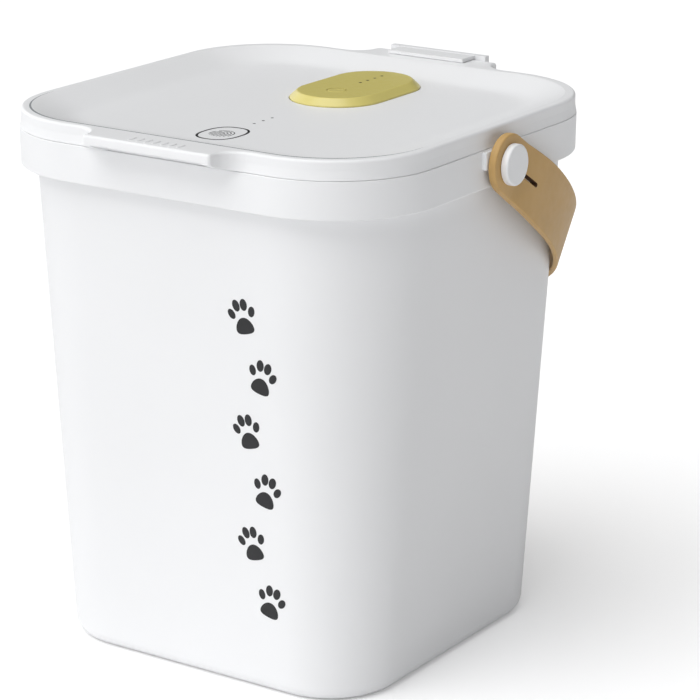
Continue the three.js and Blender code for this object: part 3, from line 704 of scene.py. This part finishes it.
def build_lid():
    """One skin, from the pump's seat outwards over the rim, down the skirt and back under the panel."""
    wall_in = 20
    wall = [(x, y) for x, y, z in dish_ring(wall_in)]
    opening = PUMP_BODY_R + GAP
    seat_r = PUMP_BASE_R + SEAT_GAP
    seat = [(opening, PANEL_THICK), (opening, SEAT_DEPTH), (seat_r, SEAT_DEPTH)]
    rings = [at(stadium_facing(wall, radius), PANEL_Z - drop) for radius, drop in seat]
    for radius, drop in ((seat_r, 0.15), (seat_r + 0.15, 0), (PUMP_BASE_R + 1.2, 0)):
        rings.append([(x, y, z - drop) for x, y, z in on_panel(stadium_facing(wall, radius))])
    around = stadium_facing(wall, PUMP_BASE_R + 1.2)
    # The rings crowd towards the dish's wall, where the panel starts to curve.
    for share in (0.4, 0.7, 0.85, 0.9, 0.93, 0.95, 0.965, 0.98):
        rings.append(on_panel(between(around, wall, share)))
    dish_steps = 16
    rings += [dish_ring(wall_in * (1 - step / dish_steps)) for step in range(dish_steps)]
    rim_inner = LID_HALF - DISH_HALF
    for drawn_out, drop in ((0, 0.02), (0.3, 0)):
        rim = lid_outline(rim_inner - drawn_out, LID_CORNER - DISH_CORNER)
        rings.append(at(rim, LID_TOP - drop))
    for inset, drop in reversed(round_edge(EDGE_ROUND, 6)):
        rings.append(at(lid_outline(LID_TAPER + inset, mode="full"), LID_TOP - drop))
    lip_bottom = LID_TOP - LIP_THICK
    under = 0.8
    for inset, drop in round_edge(under, 4):
        outline = lid_outline(LID_TAPER, mode="full")
        drawn_in = lid_outline(LID_TAPER + inset, mode="full")
        cheek = LIP_HALF - LIP_CHEEK + 0.01
        pocket = [abs(x) < cheek and abs(y) > LID_HALF + 1 for x, y in outline]
        outline = [b if inside else a for a, b, inside in zip(outline, drawn_in, pocket)]
        rings.append(at(outline, lip_bottom + drop))
    # The lip's ends sweep in and down to the skirt's bottom.
    sweep_steps = 10
    swept = LID_HALF + SKIRT_EDGE
    for step in range(sweep_steps + 1):
        share = 1 - step / sweep_steps
        limit = swept + (LIP_OUT - swept) * share
        z = SKIRT_BOTTOM + SKIRT_EDGE + (lip_bottom - SKIRT_BOTTOM - SKIRT_EDGE) * share**1.5
        rings.append(at(lid_outline(LID_TAPER * share, mode="cheeks", limit=limit), z))
    for inset, drop in round_edge(SKIRT_EDGE, 3)[1:]:
        rings.append(at(lid_outline(inset, mode="cheeks", limit=swept - inset), SKIRT_BOTTOM + drop))
    rings.append(at(lid_outline(SKIRT_WALL), SKIRT_BOTTOM))
    rings.append(at(lid_outline(SKIRT_WALL), LID_TOP - 2.4))
    for step in range(0, dish_steps + 1, 2):
        rings.append(dish_ring(wall_in * step / dish_steps, PANEL_THICK))
    return skin("lid_top_shell", rings, loop=True)


finish_piece(build_lid(), "lid", WHITE, "lid_shell")


def build_rim_painted_shade():
    """A grey strip of painted shade inside the front of the rim, where the dish's wall falls away; it fades
    out along the sides.
    """
    low = LID_TOP - 0.3
    high = LID_TOP + 0.02
    rim_inner = LID_HALF - DISH_HALF - 0.3
    edge = lid_outline(rim_inner, LID_CORNER - DISH_CORNER)
    outer = lid_outline(rim_inner - RIM_SHADE_WIDTH, LID_CORNER - DISH_CORNER)
    half_way = len(edge) // 2
    pairs = list(zip(edge, outer))
    rings = []
    for (ax, ay), (bx, by) in pairs[half_way:] + pairs[:half_way]:
        share = smooth_step(-ay, *RIM_SHADE_FADE)
        if share > 0.05:
            cx, cy = ax + (bx - ax) * share, ay + (by - ay) * share
            rings.append([(ax, ay, low), (ax, ay, high), (cx, cy, high), (cx, cy, low)])
    return skin("rim_painted_shade", rings)


# The grey strip paints the shade along the front of the rim's inner edge.
finish_piece(build_rim_painted_shade(), "lid", GREY)

# -------------------- marks on the lid and the bucket


def superellipse(half_x, half_y, power, steps=72):
    points = []
    for step in range(steps):
        angle = step / steps * 4 * QUARTER
        c = math.cos(angle)
        s = math.sin(angle)
        x = half_x * math.copysign(abs(c) ** (2 / power), c)
        y = half_y * math.copysign(abs(s) ** (2 / power), s)
        points.append((x, y))
    return points


def shifted(points, x, y):
    return [(px + x, py + y) for px, py in points]


def merged(name, pieces):
    """One object holding the meshes of several."""
    body = bmesh.new()
    for piece in pieces:
        body.from_mesh(piece.data)
        bpy.data.objects.remove(piece)
    mesh = bpy.data.meshes.new(name)
    body.to_mesh(mesh)
    body.free()
    return add_object(name, mesh)


def stroke(name, points, width, low, high):
    """A raised line along points on a level surface."""
    rings = []
    for i, (x, y) in enumerate(points):
        before = points[max(i - 1, 0)]
        after = points[min(i + 1, len(points) - 1)]
        along = Vector((after[0] - before[0], after[1] - before[1])).normalized()
        side = Vector((-along.y, along.x)) * width / 2
        rings.append([
            (x - side.x, y - side.y, low),
            (x - side.x, y - side.y, high),
            (x + side.x, y + side.y, high),
            (x + side.x, y + side.y, low),
        ])
    return skin(name, rings)


def build_touch_mark():
    """A printed frame with the arches of a fingertip inside, on the sunk panel."""
    low = PANEL_Z - 0.2
    high = PANEL_Z + PRINT_PROUD
    outer = shifted(superellipse(11.9, 15.6, 2.5), 0, MARK_Y)
    inner = shifted(superellipse(10.7, 14.4, 2.5), 0, MARK_Y)
    frame_rings = [at(outer, low), at(outer, high), at(inner, high), at(inner, low)]
    pieces = [skin("mark_frame", frame_rings, loop=True)]
    print_r = 7.4
    for i in range(4):
        radius = 0.95 + 1.75 * i
        foot = -math.sqrt(print_r * print_r - radius * radius)
        gap = 0.65 + 0.35 * i
        right = [(radius, foot), *arc(0, 0, radius, 0, gap - 0.09, 12)]
        left = [*arc(0, 0, radius, gap + 0.09, 2, 12), (-radius, foot)]
        for k, path in enumerate((right, left)):
            pieces.append(stroke(f"mark_arch_{i}_{k}", shifted(path, 0, MARK_Y), 0.5, low, high))
    return merged("touch_mark", pieces)


finish_piece(build_touch_mark(), "lid", INK)


def build_ribs():
    """Low grip ribs on the front lip."""
    ribs = []
    for i in range(RIB_COUNT):
        x = RIB_START + RIB_STEP * i
        outline = shifted(superellipse(0.9, 3.4, 2.6, 28), x, RIB_Y)
        small = shifted(superellipse(0.6, 3.1, 2.6, 28), x, RIB_Y)
        rings = [at(outline, LID_TOP - 0.4), at(outline, LID_TOP + 0.2), at(small, LID_TOP + 0.4)]
        ribs.append(skin(f"rib_{i}", rings, smooth_angle=60))
    return merged("lip_ribs", ribs)


finish_piece(build_ribs(), "lid", WHITE)


def front_face(x, z, proud):
    """A point on the bucket's front, standing a little proud of it."""
    return (x, -(BASE_HALF + DRAFT * (z - BASE_FILLET)) - proud, z)


def leaning(points, degrees, x, y):
    """Points turned about the origin, then moved."""
    c = math.cos(math.radians(degrees))
    s = math.sin(math.radians(degrees))
    return [(x + u * c - v * s, y + u * s + v * c) for u, v in points]


def paw_outlines():
    """A heel pad and four toes, as outlines round the paw's middle."""
    pad = []
    for x, z in superellipse(5.6, 4.4, 2.2, 48):
        pad.append((x * (1 - 0.035 * z), z - 3.4 - 0.03 * x * x))
    outlines = [pad]
    for side, x, z, half_x, half_z, tilt in (
        (-1, 6.4, 3.6, 2.0, 2.9, 24),
        (-1, 2.4, 7.7, 2.2, 3.2, 8),
        (1, 2.4, 7.7, 2.2, 3.2, 8),
        (1, 6.4, 3.6, 2.0, 2.9, 24),
    ):
        outlines.append(leaning(superellipse(half_x, half_z, 2, 36), -side * tilt, side * x, z))
    return outlines


def build_paw_trail():
    """A printed trail of paw prints climbing the bucket's front."""
    marks = []
    for i in range(PAW_COUNT):
        turn = PAW_TURN if i % 2 else -PAW_TURN
        for k, outline in enumerate(paw_outlines()):
            placed = leaning(outline, turn, PAW_XS[i % 2], PAW_START + PAW_STEP * i)
            rings = [[front_face(x, z, proud) for x, z in placed] for proud in (-0.4, 0.1)]
            marks.append(skin(f"paw_{i}_{k}", rings))
    return merged("front_print", marks)


finish_piece(build_paw_trail(), "bin", INK)


def build_light(node):
    """A dark light pipe with a domed end."""
    low, high = cad(node)
    dome_rise = 0.12
    profile = [(0, low.z), (LIGHT_R, low.z)]
    for turn in (0, 0.3, 0.6, 0.85):
        angle = turn * QUARTER
        profile.append((LIGHT_R * math.cos(angle), high.z + dome_rise * math.sin(angle)))
    profile.append((0, high.z + dome_rise))
    centre = ((low.x + high.x) / 2, (low.y + high.y) / 2, 0)
    return lathe(f"{node}_pipe", profile, centre, steps=32)


for node in [f"status_light_{index}" for index in (1, 2, 3)]:
    finish_piece(build_light(node), "lid", DARK, node)

# -------------------- liner, gasket and check valve


def build_liner():
    mouth = bucket_outline(BUCKET_TOP)
    plug_in = PLUG_INSET + PLUG_WALL
    well_low = LINER_LOW.z
    well_out = WELL_R + WELL_WALL
    well_in = stadium_facing(mouth, WELL_R)
    rings = []
    for inset, drop in reversed(round_edge(2, 4)):
        rings.append(at(stadium_facing(mouth, well_out - inset), well_low + drop))
    for grow, drop in ((0, 1.2), (0.4, 0.4), (1.2, 0)):
        rings.append(at(stadium_facing(mouth, well_out + grow), PLATE_BOTTOM - drop))
    plug = [
        (plug_in + 1.2, PLATE_BOTTOM),
        (plug_in, PLATE_BOTTOM - 0.8),
        (plug_in, PLUG_BOTTOM + 0.6),
        (plug_in - 0.6, PLUG_BOTTOM),
        (PLUG_INSET + 0.6, PLUG_BOTTOM),
        (PLUG_INSET, PLUG_BOTTOM + 0.6),
        (PLUG_INSET, FLANGE_BOTTOM),
    ]
    rings += [at(bucket_outline(BUCKET_TOP, inset), z) for inset, z in plug]
    for inset, drop in reversed(round_edge(0.4, 3)):
        rings.append(at(square(FLANGE_HALF - inset, FLANGE_CORNER), FLANGE_BOTTOM + drop))
    plug_inside = bucket_outline(BUCKET_TOP, plug_in)
    rings.append(at(square(FLANGE_HALF, FLANGE_CORNER), LINER_HIGH.z))
    rings += [at(plug_inside, LINER_HIGH.z), at(plug_inside, PLATE_TOP)]
    rings.append(at(stadium_facing(mouth, WELL_R + 0.5), PLATE_TOP))
    rings += [at(well_in, PLATE_TOP - 0.5), at(well_in, well_low + 2)]
    return skin("liner_plate", rings)


finish_piece(build_liner(), "lid", LINER, "lid_liner")


def build_gasket():
    low = GASKET_LOW.z
    high = GASKET_HIGH.z
    radius = (high - low) / 2
    inner = GASKET_INSET + GASKET_WIDTH
    rings = []
    for edge, side in ((GASKET_INSET, 1), (inner, -1)):
        for turn in range(7):
            angle = side * (turn / 6 - 0.5) * 2 * QUARTER
            inset = edge + side * radius * (1 - math.cos(angle))
            rings.append(at(bucket_outline(BUCKET_TOP, inset), low + radius + radius * math.sin(angle)))
    return skin("gasket_ring", rings, loop=True)


finish_piece(build_gasket(), "lid", SILICONE, "lid_gasket")


def build_valve():
    low, high = cad("check_valve")
    radius = (high.x - low.x) / 2
    disc = low.z + 1.7
    centre = ((low.x + high.x) / 2, (low.y + high.y) / 2, 0)
    stem = 1.2
    profile = [(0, low.z + 0.5), (1.4, low.z + 0.4), (2.2, low.z), (4.6, low.z + 0.1)]
    profile += [(radius - 0.4, low.z + 0.9), (radius, disc - 0.3), (radius - 0.2, disc)]
    profile += [(stem, disc), (stem, high.z - 0.3), (stem - 0.3, high.z), (0, high.z)]
    return lathe("valve_flap", profile, centre, steps=48)


finish_piece(build_valve(), "lid", SILICONE, "check_valve")

# -------------------- hinge


def pin_bore():
    return cylinder("bore", (0, HINGE_Y, HINGE_Z), "x", PIN_BORE_R, -2 * KNUCKLE_HALF, 2 * KNUCKLE_HALF)


def build_bracket():
    back = COLLAR_HALF + 0.4
    low = COLLAR_BOTTOM + 2
    plate = block("bracket_plate", (-HINGE_HALF, back, low), (HINGE_HALF, BRACKET_FACE, HINGE_Z - 0.4))
    outline = [(back + 0.2, low + 1)]
    outline += [(y, z) for y, z in arc(HINGE_Y, HINGE_Z, KNUCKLE_R, -1, 1, 20)]
    outline += [(HINGE_Y - 6.5, HINGE_Z + 1.4), (back + 0.2, HINGE_Z - 1)]
    inner = KNUCKLE_HALF + GAP
    ears = []
    for x0 in (-inner - EAR_THICK, inner):
        ears.append(prism("ear", outline, x0, x0 + EAR_THICK))
    bracket = combine(plate, ears, "UNION")
    combine(bracket, [pin_bore()], "DIFFERENCE")
    return soften(bracket, 0.5, 2)


finish_piece(build_bracket(), "bin", WHITE, "hinge_bracket")


def build_leaf():
    top = LID_TOP + GAP
    inner = LIP_OUT + GAP
    plate = block("leaf_plate", (-LEAF_HALF, LEAF_FRONT, top), (LEAF_HALF, HINGE_Y - 3, top + 2))
    bar = block("leaf_bar", (-HINGE_HALF, inner, HINGE_Z + 6.5), (HINGE_HALF, HINGE_Y, top + 2.2))
    web = block("leaf_web", (-KNUCKLE_HALF, inner, HINGE_Z), (KNUCKLE_HALF, HINGE_Y - 0.02, HINGE_Z + 8))
    centre = (0, HINGE_Y, HINGE_Z)
    knuckle = cylinder("knuckle", centre, "x", KNUCKLE_R, -KNUCKLE_HALF, KNUCKLE_HALF, 48)
    leaf = combine(plate, [bar, web, knuckle], "UNION")
    combine(leaf, [pin_bore()], "DIFFERENCE")
    return soften(leaf, 0.5, 2)


finish_piece(build_leaf(), "lid", WHITE, "hinge_leaf")


def build_pin():
    end = PIN_HIGH.x
    radius = (PIN_HIGH.z - PIN_LOW.z) / 2
    chamfer = 0.6
    profile = [(0, -end), (radius - chamfer, -end), (radius, -end + chamfer)]
    profile += [(radius, end - chamfer), (radius - chamfer, end), (0, end)]
    return lathe("pin_rod", profile, (0, HINGE_Y, HINGE_Z), "x", 32)


finish_piece(build_pin(), "bin", STEEL, "hinge_pin")

# -------------------- pump module


def build_cover():
    base = PANEL_Z - SEAT_DEPTH + GAP
    low = COVER_LOW.z
    ceiling = PUMP_TOP - 1.6
    inner = PUMP_BODY_R - PUMP_WALL
    outlines = [
        (inner, ceiling),
        (inner, low + 0.2),
        (inner + 0.2, low),
        (PUMP_BODY_R - 0.2, low),
        (PUMP_BODY_R, low + 0.2),
        (PUMP_BODY_R, base),
        (PUMP_BASE_R - 0.3, base),
        (PUMP_BASE_R, base + 0.3),
        (PUMP_BASE_R, PANEL_Z + 0.45),
        (PUMP_BASE_R - 0.1, PANEL_Z + 0.65),
        (PUMP_BASE_R - 0.34, PANEL_Z + 0.9),
        (PUMP_TOP_R + 0.72, PUMP_TOP - 0.58),
        (PUMP_TOP_R + 0.42, PUMP_TOP - 0.3),
        (PUMP_TOP_R + 0.1, PUMP_TOP - 0.1),
        (PUMP_TOP_R - 0.3, PUMP_TOP - 0.02),
        (PUMP_TOP_R - 0.7, PUMP_TOP),
    ]
    cover = skin("pump_lid", [at(stadium(radius), z) for radius, z in outlines])
    bosses = [cylinder_z("boss", 0, y, BOSS_R, low, PUMP_TOP - 0.8) for y in BOSS_YS]
    combine(cover, bosses, "UNION")
    cuts = [cylinder_z("bore", 0, y, PILOT_R, low - 1, PANEL_Z + 0.8, 24) for y in BOSS_YS]
    cuts.append(cylinder_z("bore", 0, BUTTON_Y, BUTTON_R + BUTTON_GAP, low, PUMP_TOP + 2, 64))
    for index in range(1, 5):
        light_low, light_high = cad(f"level_light_{index}")
        y = (light_low.y + light_high.y) / 2
        cuts.append(cylinder_z("bore", 0, y, LIGHT_R + 0.1, low, PUMP_TOP + 2, 24))
    return combine(cover, cuts, "DIFFERENCE")


def build_button():
    low = BUTTON_LOW.z
    top = BUTTON_HIGH.z
    profile = [(0, low), (BUTTON_R, low), (BUTTON_R, low + 0.5), (BUTTON_R + 1.2, low + 0.5)]
    profile += [(BUTTON_R + 1.2, low + 1.7), (BUTTON_R, low + 1.7), (BUTTON_R, top - 0.35)]
    profile += [(BUTTON_R - 0.1, top - 0.12), (BUTTON_R - 0.35, top), (BUTTON_R - 1.2, top - 0.03)]
    profile += [(BUTTON_R - 2.8, top - 0.15), (0, top - 0.22)]
    return lathe("button_disc", profile, (0, BUTTON_Y, 0), "z", 64)


def build_tray():
    low = TRAY_LOW.z
    high = TRAY_HIGH.z
    inner = PUMP_BODY_R - PUMP_WALL
    rings = [at(stadium(PUMP_BODY_R - inset), low + drop) for inset, drop in reversed(round_edge(1.5, 4))]
    rings += [at(stadium(PUMP_BODY_R), high - 0.2), at(stadium(PUMP_BODY_R - 0.2), high)]
    rings += [at(stadium(inner), high), at(stadium(inner), low + 2)]
    tray = skin("pump_tub", rings)
    bosses = [cylinder_z("boss", 0, y, BOSS_R, low + 1, high) for y in BOSS_YS]
    combine(tray, bosses, "UNION")
    cuts = [cylinder_z("bore", 0, y, PILOT_R, low - 1, high + 1, 24) for y in BOSS_YS]
    cuts += [cylinder_z("bore", 0, y, HEAD_HOLE_R, low - 1, HEAD_SEAT) for y in BOSS_YS]
    seal_low, seal_high = cad("port_seal")
    port_x = (seal_low.x + seal_high.x) / 2
    port_y = (seal_low.y + seal_high.y) / 2
    cuts.append(cylinder_z("bore", port_x, port_y, NOZZLE_HOLE_R, low - 1, low + 4))
    socket_low, socket_high = cad("usb_socket")
    cuts.append(block("slot", socket_low - Vector((GAP, GAP, GAP)), socket_high + Vector((5, GAP, GAP))))
    return combine(tray, cuts, "DIFFERENCE")


cover = soften(build_cover(), 0.12, 2, angle=60)
finish_piece(cover, "pump_module", YELLOW, "pump_cover")
finish_piece(build_button(), "button", YELLOW, "release_button")
tray = soften(build_tray(), 0.15, 2, angle=60)
finish_piece(tray, "pump_module", GREY, "pump_tray")
for node in [f"level_light_{index}" for index in (1, 2, 3, 4)]:
    finish_piece(build_light(node), "pump_module", DARK, node)

# -------------------- strap handle


def strap_stations():
    """Stops along the strap from the right pivot round to the left one.

    Each is (x, reach, outward normal x, outward normal reach, half width, thickness) in the strap's plane.
    """
    path = [(STRAP_X, STRAP_STRAIGHT * k / 4) for k in range(4)]
    corners = [(STRAP_X, STRAP_STRAIGHT), STRAP_SIDE, (STRAP_TURN, STRAP_REACH), (0, STRAP_REACH)]
    steps = 48
    for step in range(steps + 1):
        t = step / steps
        weights = [(1 - t) ** 3, 3 * t * (1 - t) ** 2, 3 * t * t * (1 - t), t ** 3]
        path.append(tuple(sum(w * c[axis] for w, c in zip(weights, corners)) for axis in (0, 1)))
    path += [(-x, reach) for x, reach in reversed(path[:-1])]
    stations = []
    for i, (x, reach) in enumerate(path):
        before = Vector(path[max(i - 1, 0)])
        after = Vector(path[min(i + 1, len(path) - 1)])
        along = (after - before).normalized()
        flare = smooth_step(reach, 0, STRAP_FLARE)
        half = STRAP_END_R + (STRAP_HALF - STRAP_END_R) * flare
        thick = STRAP_THICK + (STRAP_THIN - STRAP_THICK) * smooth_step(reach, *STRAP_THINNING)
        stations.append((x, reach, along.y, -along.x, half, thick))
    return stations


def strap_place(x, reach, across):
    """A point of the strap's own level plane, tilted to where the strap hangs."""
    c = math.cos(STRAP_TILT)
    s = math.sin(STRAP_TILT)
    return (x, reach * c + across * s, PIVOT_Z - reach * s + across * c)


def strap_ring(stations, inset, scale, depth_at):
    """The strap's outline, drawn in by inset and scaled towards its middle line, at a depth."""

    def put(station, along, across):
        x, reach, normal_x, normal_reach, _, thick = station
        depth = depth_at(thick)
        return strap_place(x - depth * normal_x, reach + along - depth * normal_reach, across)

    radius = (STRAP_END_R - inset) * scale
    end_steps = 20
    ring = []
    for side, way in ((1, stations), (-1, stations[::-1])):
        ring += [put(station, 0, side * (station[4] - inset) * scale) for station in way]
        for step in range(1, end_steps):
            angle = step / end_steps * 2 * QUARTER
            ring.append(put(way[-1], -radius * math.sin(angle), side * radius * math.cos(angle)))
    return ring


def build_strap():
    stations = strap_stations()
    rings = []
    for scale in (0, 0.35, 0.7):
        rings.append(strap_ring(stations, STRAP_EDGE, scale, lambda thick: thick))
    for inset, drop in reversed(round_edge(STRAP_EDGE, 4)):
        rings.append(strap_ring(stations, inset, 1, lambda thick, drop=drop: thick - drop))
    for inset, drop in round_edge(STRAP_EDGE, 4):
        rings.append(strap_ring(stations, inset, 1, lambda thick, drop=drop: drop))
    for scale in (0.7, 0.35, 0):
        rings.append(strap_ring(stations, STRAP_EDGE, scale, lambda thick: 0))
    strap = skin("strap_band", rings, caps=False, smooth_angle=60)
    slit = [(0, SLIT_HALF), (0, -SLIT_HALF)] + arc(SLIT_LENGTH - SLIT_HALF, 0, SLIT_HALF, 3, 5, 10)
    hole = arc(0, 0, BUSH_R + 0.08, 0, 4, 40)[:-1]
    cuts = []
    for side in (-1, 1):
        for outline in (slit, hole):
            near = [strap_place(side * (STRAP_X - 12), reach, across) for reach, across in outline]
            far = [strap_place(side * (STRAP_X + 12), reach, across) for reach, across in outline]
            cuts.append(skin("strap_cut", [near, far]))
    combine(strap, cuts, "DIFFERENCE")
    return soften(strap, 0.2, 2, angle=65)


def paint_slit_shade(strap):
    """Gives the faces inside the slits the near-black material, painted shade for the slits' depth."""
    strap.data.materials.append(SLIT_SHADE)
    for face in strap.data.polygons:
        x, y, z = (c / MM for c in face.center)
        rise = z - PIVOT_Z
        reach = y * math.cos(STRAP_TILT) - rise * math.sin(STRAP_TILT)
        across = y * math.sin(STRAP_TILT) + rise * math.cos(STRAP_TILT)
        in_slit = 0 < reach < SLIT_LENGTH + 0.1 and abs(across) < SLIT_HALF + 0.1
        if in_slit and abs(face.normal.x) < 0.5:
            face.material_index = 1


strap = finish_piece(build_strap(), "strap", STRAP, "strap_handle")
# Paints the slits' cut faces dark as painted shade.
paint_slit_shade(strap)


def build_cap(side, name):
    start = STRAP_X + 0.15
    top = CAP_HIGH.x + 0.4
    profile = [(0, CAP_HOLE_END), (CAP_HOLE_R, CAP_HOLE_END), (CAP_HOLE_R, start)]
    profile += [(CAP_R - 0.5, start), (CAP_R, start + 0.4)]
    profile += [(CAP_R - inset, top - 0.1 - drop) for inset, drop in round_edge(1.1, 6)]
    profile += [(5, top - 0.02), (0, top)]
    return lathe(f"cap_{name}", [(radius, side * x) for radius, x in profile], (0, 0, PIVOT_Z), "x", 72)


for side, name in ((-1, "left"), (1, "right")):
    finish_piece(build_cap(side, name), "bin", WHITE, f"strap_cap_{name}")

# -------------------- screws and the parts inside


def build_screw(node, axis, direction):
    """A pan head screw with a cross recess, in a CAD screw's place. direction is where the head points."""
    low, high = cad(node)
    index = "xyz".index(axis)
    centre = [(a + b) / 2 for a, b in zip(low, high)]
    head_radius = (high[index - 1] - low[index - 1]) / 2
    head_end = high[index] if direction > 0 else low[index]
    tip = low[index] if direction > 0 else high[index]
    centre[index] = 0
    shaft = 2 if node.startswith("strap") else 1.2
    head = 1.6
    under = head_end - direction * head
    profile = [(0, tip), (shaft - 0.4, tip), (shaft, tip + direction * 0.5)]
    profile += [(shaft, under), (head_radius, under)]
    profile += [(head_radius - inset, head_end - direction * drop) for inset, drop in round_edge(0.9, 4)]
    profile.append((0, head_end))
    screw = lathe(f"{node}_head", profile, centre, axis, 40)
    arms = []
    for turn in (0, 1):
        half = [head_radius * 0.55 if (k - index) % 3 == 1 + turn else 0.4 for k in range(3)]
        corner = [c - h for c, h in zip(centre, half)]
        opposite = [c + h for c, h in zip(centre, half)]
        corner[index], opposite[index] = sorted((head_end - direction * 0.9, head_end + direction))
        arms.append(block("cross", corner, opposite))
    return combine(screw, arms, "DIFFERENCE")


SCREWS = [(f"liner_screw_{i}", "z", -1, "lid") for i in range(1, 7)]
SCREWS += [(f"leaf_screw_{side}", "z", -1, "lid") for side in ("left", "right")]
SCREWS += [(f"bracket_screw_{side}", "y", 1, "bin") for side in ("left", "right")]
SCREWS += [(f"pump_screw_{side}", "z", -1, "pump_module") for side in ("front", "rear")]
SCREWS += [("strap_screw_left", "x", -1, "bin"), ("strap_screw_right", "x", 1, "bin")]
for node, axis, direction, body in SCREWS:
    finish_piece(build_screw(node, axis, direction), body, STEEL, node)

# Parts that keep their CAD shape.
KEPT = {
    "strap_bush_left": STEEL,
    "strap_bush_right": STEEL,
    "touch_board": BOARD,
    "pump_board": BOARD,
    "pump_motor": STEEL,
    "pump_head": DARK,
    "battery_cell": WRAP,
    "usb_socket": STEEL,
    "port_seal": SILICONE,
}
for node, material in KEPT.items():
    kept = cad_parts[node]
    kept.data.materials.clear()
    kept.data.materials.append(material)
    rounding = kept.modifiers.new("round", "BEVEL")
    rounding.width = 0.25 * MM
    rounding.segments = 2
    rounding.limit_method = "ANGLE"
    rounding.angle_limit = math.radians(50)

# -------------------- stage, light and camera


def build_floor():
    """A white paper floor that glows a little to the camera, so that it fades into the backdrop."""
    size = 6000
    corners = [(-size, -size, 0), (size, -size, 0), (size, size, 0), (-size, size, 0)]
    floor = new_mesh("floor", corners, [(0, 1, 2, 3)])
    nodes = Nodes("floor_paper", (0.93, 0.93, 0.935), 0.9)
    nodes.shade(nodes.noise(3), 0.01)
    nodes.bump(nodes.noise(700), 0.02, 0.3)
    path = nodes.tree.nodes.new("ShaderNodeLightPath")
    glow = nodes.tree.nodes.new("ShaderNodeMath")
    glow.operation = "MULTIPLY"
    glow.inputs[1].default_value = 0.2
    nodes.tree.links.new(path.outputs["Is Camera Ray"], glow.inputs[0])
    nodes.tree.links.new(glow.outputs["Value"], nodes.shader.inputs["Emission Strength"])
    nodes.set("Emission Color", (1, 1, 1, 1))
    floor.data.materials.append(nodes.material)
    floor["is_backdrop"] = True


def add_camera():
    azimuth = math.radians(34.5)
    elevation = math.radians(17.3)
    distance = 1622
    target = Vector((0, 0, 150))
    toward = Vector((
        math.sin(azimuth) * math.cos(elevation),
        -math.cos(azimuth) * math.cos(elevation),
        math.sin(elevation),
    ))
    data = bpy.data.cameras.new("camera")
    data.lens = 150.2
    data.shift_x = 0.07
    data.shift_y = 0.0167
    data.clip_end = 50
    camera = add_object("camera", data)
    camera.location = (target + toward * distance) * MM
    camera.rotation_euler = (-toward).to_track_quat("-Z", "Y").to_euler()
    bpy.context.scene.camera = camera


SUNS = [
    # name, direction the light travels, strength, softness in degrees
    ("key", (0.52, 0.74, -0.43), 0.56, 50),
    ("top", (0.1, 0.42, -1.0), 1.87, 60),
    ("front", (-0.22, 1.0, 0.05), 0.58, 60),
]
SKY = 0.195  # light from the sky on the right
SKY_LEFT = 0.29  # how much more comes from the left
SKY_SEEN = 1.1  # brightness of the backdrop to the camera
SHINE = 0.02  # brightness of the sky in reflections
SHINE_LEFT = 1.6  # and of the bright panel on the left
SHINE_SPREAD = (-0.62, -0.95)  # direction X over which the panel starts


def add_light():
    for name, direction, strength, softness in SUNS:
        sun = bpy.data.lights.new(name, "SUN")
        sun.energy = strength
        sun.angle = math.radians(softness)
        lamp = add_object(name, sun)
        lamp.rotation_euler = Vector(direction).to_track_quat("-Z", "Y").to_euler()
    world = bpy.data.worlds.new("studio")
    bpy.context.scene.world = world
    world.use_nodes = True
    tree = world.node_tree
    background = tree.nodes["Background"]
    background.inputs["Color"].default_value = (0.99, 0.995, 1.0, 1)
    path = tree.nodes.new("ShaderNodeLightPath")
    place = tree.nodes.new("ShaderNodeTexCoord")
    split = tree.nodes.new("ShaderNodeSeparateXYZ")
    tree.links.new(place.outputs["Generated"], split.inputs["Vector"])
    # The sky is brighter towards the left, as beside a window wall.
    side = map_range(tree, split.outputs["X"], SKY, SKY + SKY_LEFT, 1, -1)
    level = tree.nodes.new("ShaderNodeMix")
    level.inputs["B"].default_value = SKY_SEEN
    tree.links.new(path.outputs["Is Camera Ray"], level.inputs["Factor"])
    # Reflections see a brighter panel of light on the left.
    shine = map_range(tree, split.outputs["X"], SHINE, SHINE_LEFT, *SHINE_SPREAD)
    lit = tree.nodes.new("ShaderNodeMix")
    tree.links.new(path.outputs["Is Glossy Ray"], lit.inputs["Factor"])
    tree.links.new(side, lit.inputs["A"])
    tree.links.new(shine, lit.inputs["B"])
    tree.links.new(lit.outputs["Result"], level.inputs["A"])
    tree.links.new(level.outputs["Result"], background.inputs["Strength"])


build_floor()
add_camera()
add_light()
bpy.context.scene.view_settings.view_transform = "Standard"

boxes = {"cad": cad_bounds, "visual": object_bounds()}
sizes = {name: [list(map(float, corner)) for corner in box] for name, box in boxes.items()}
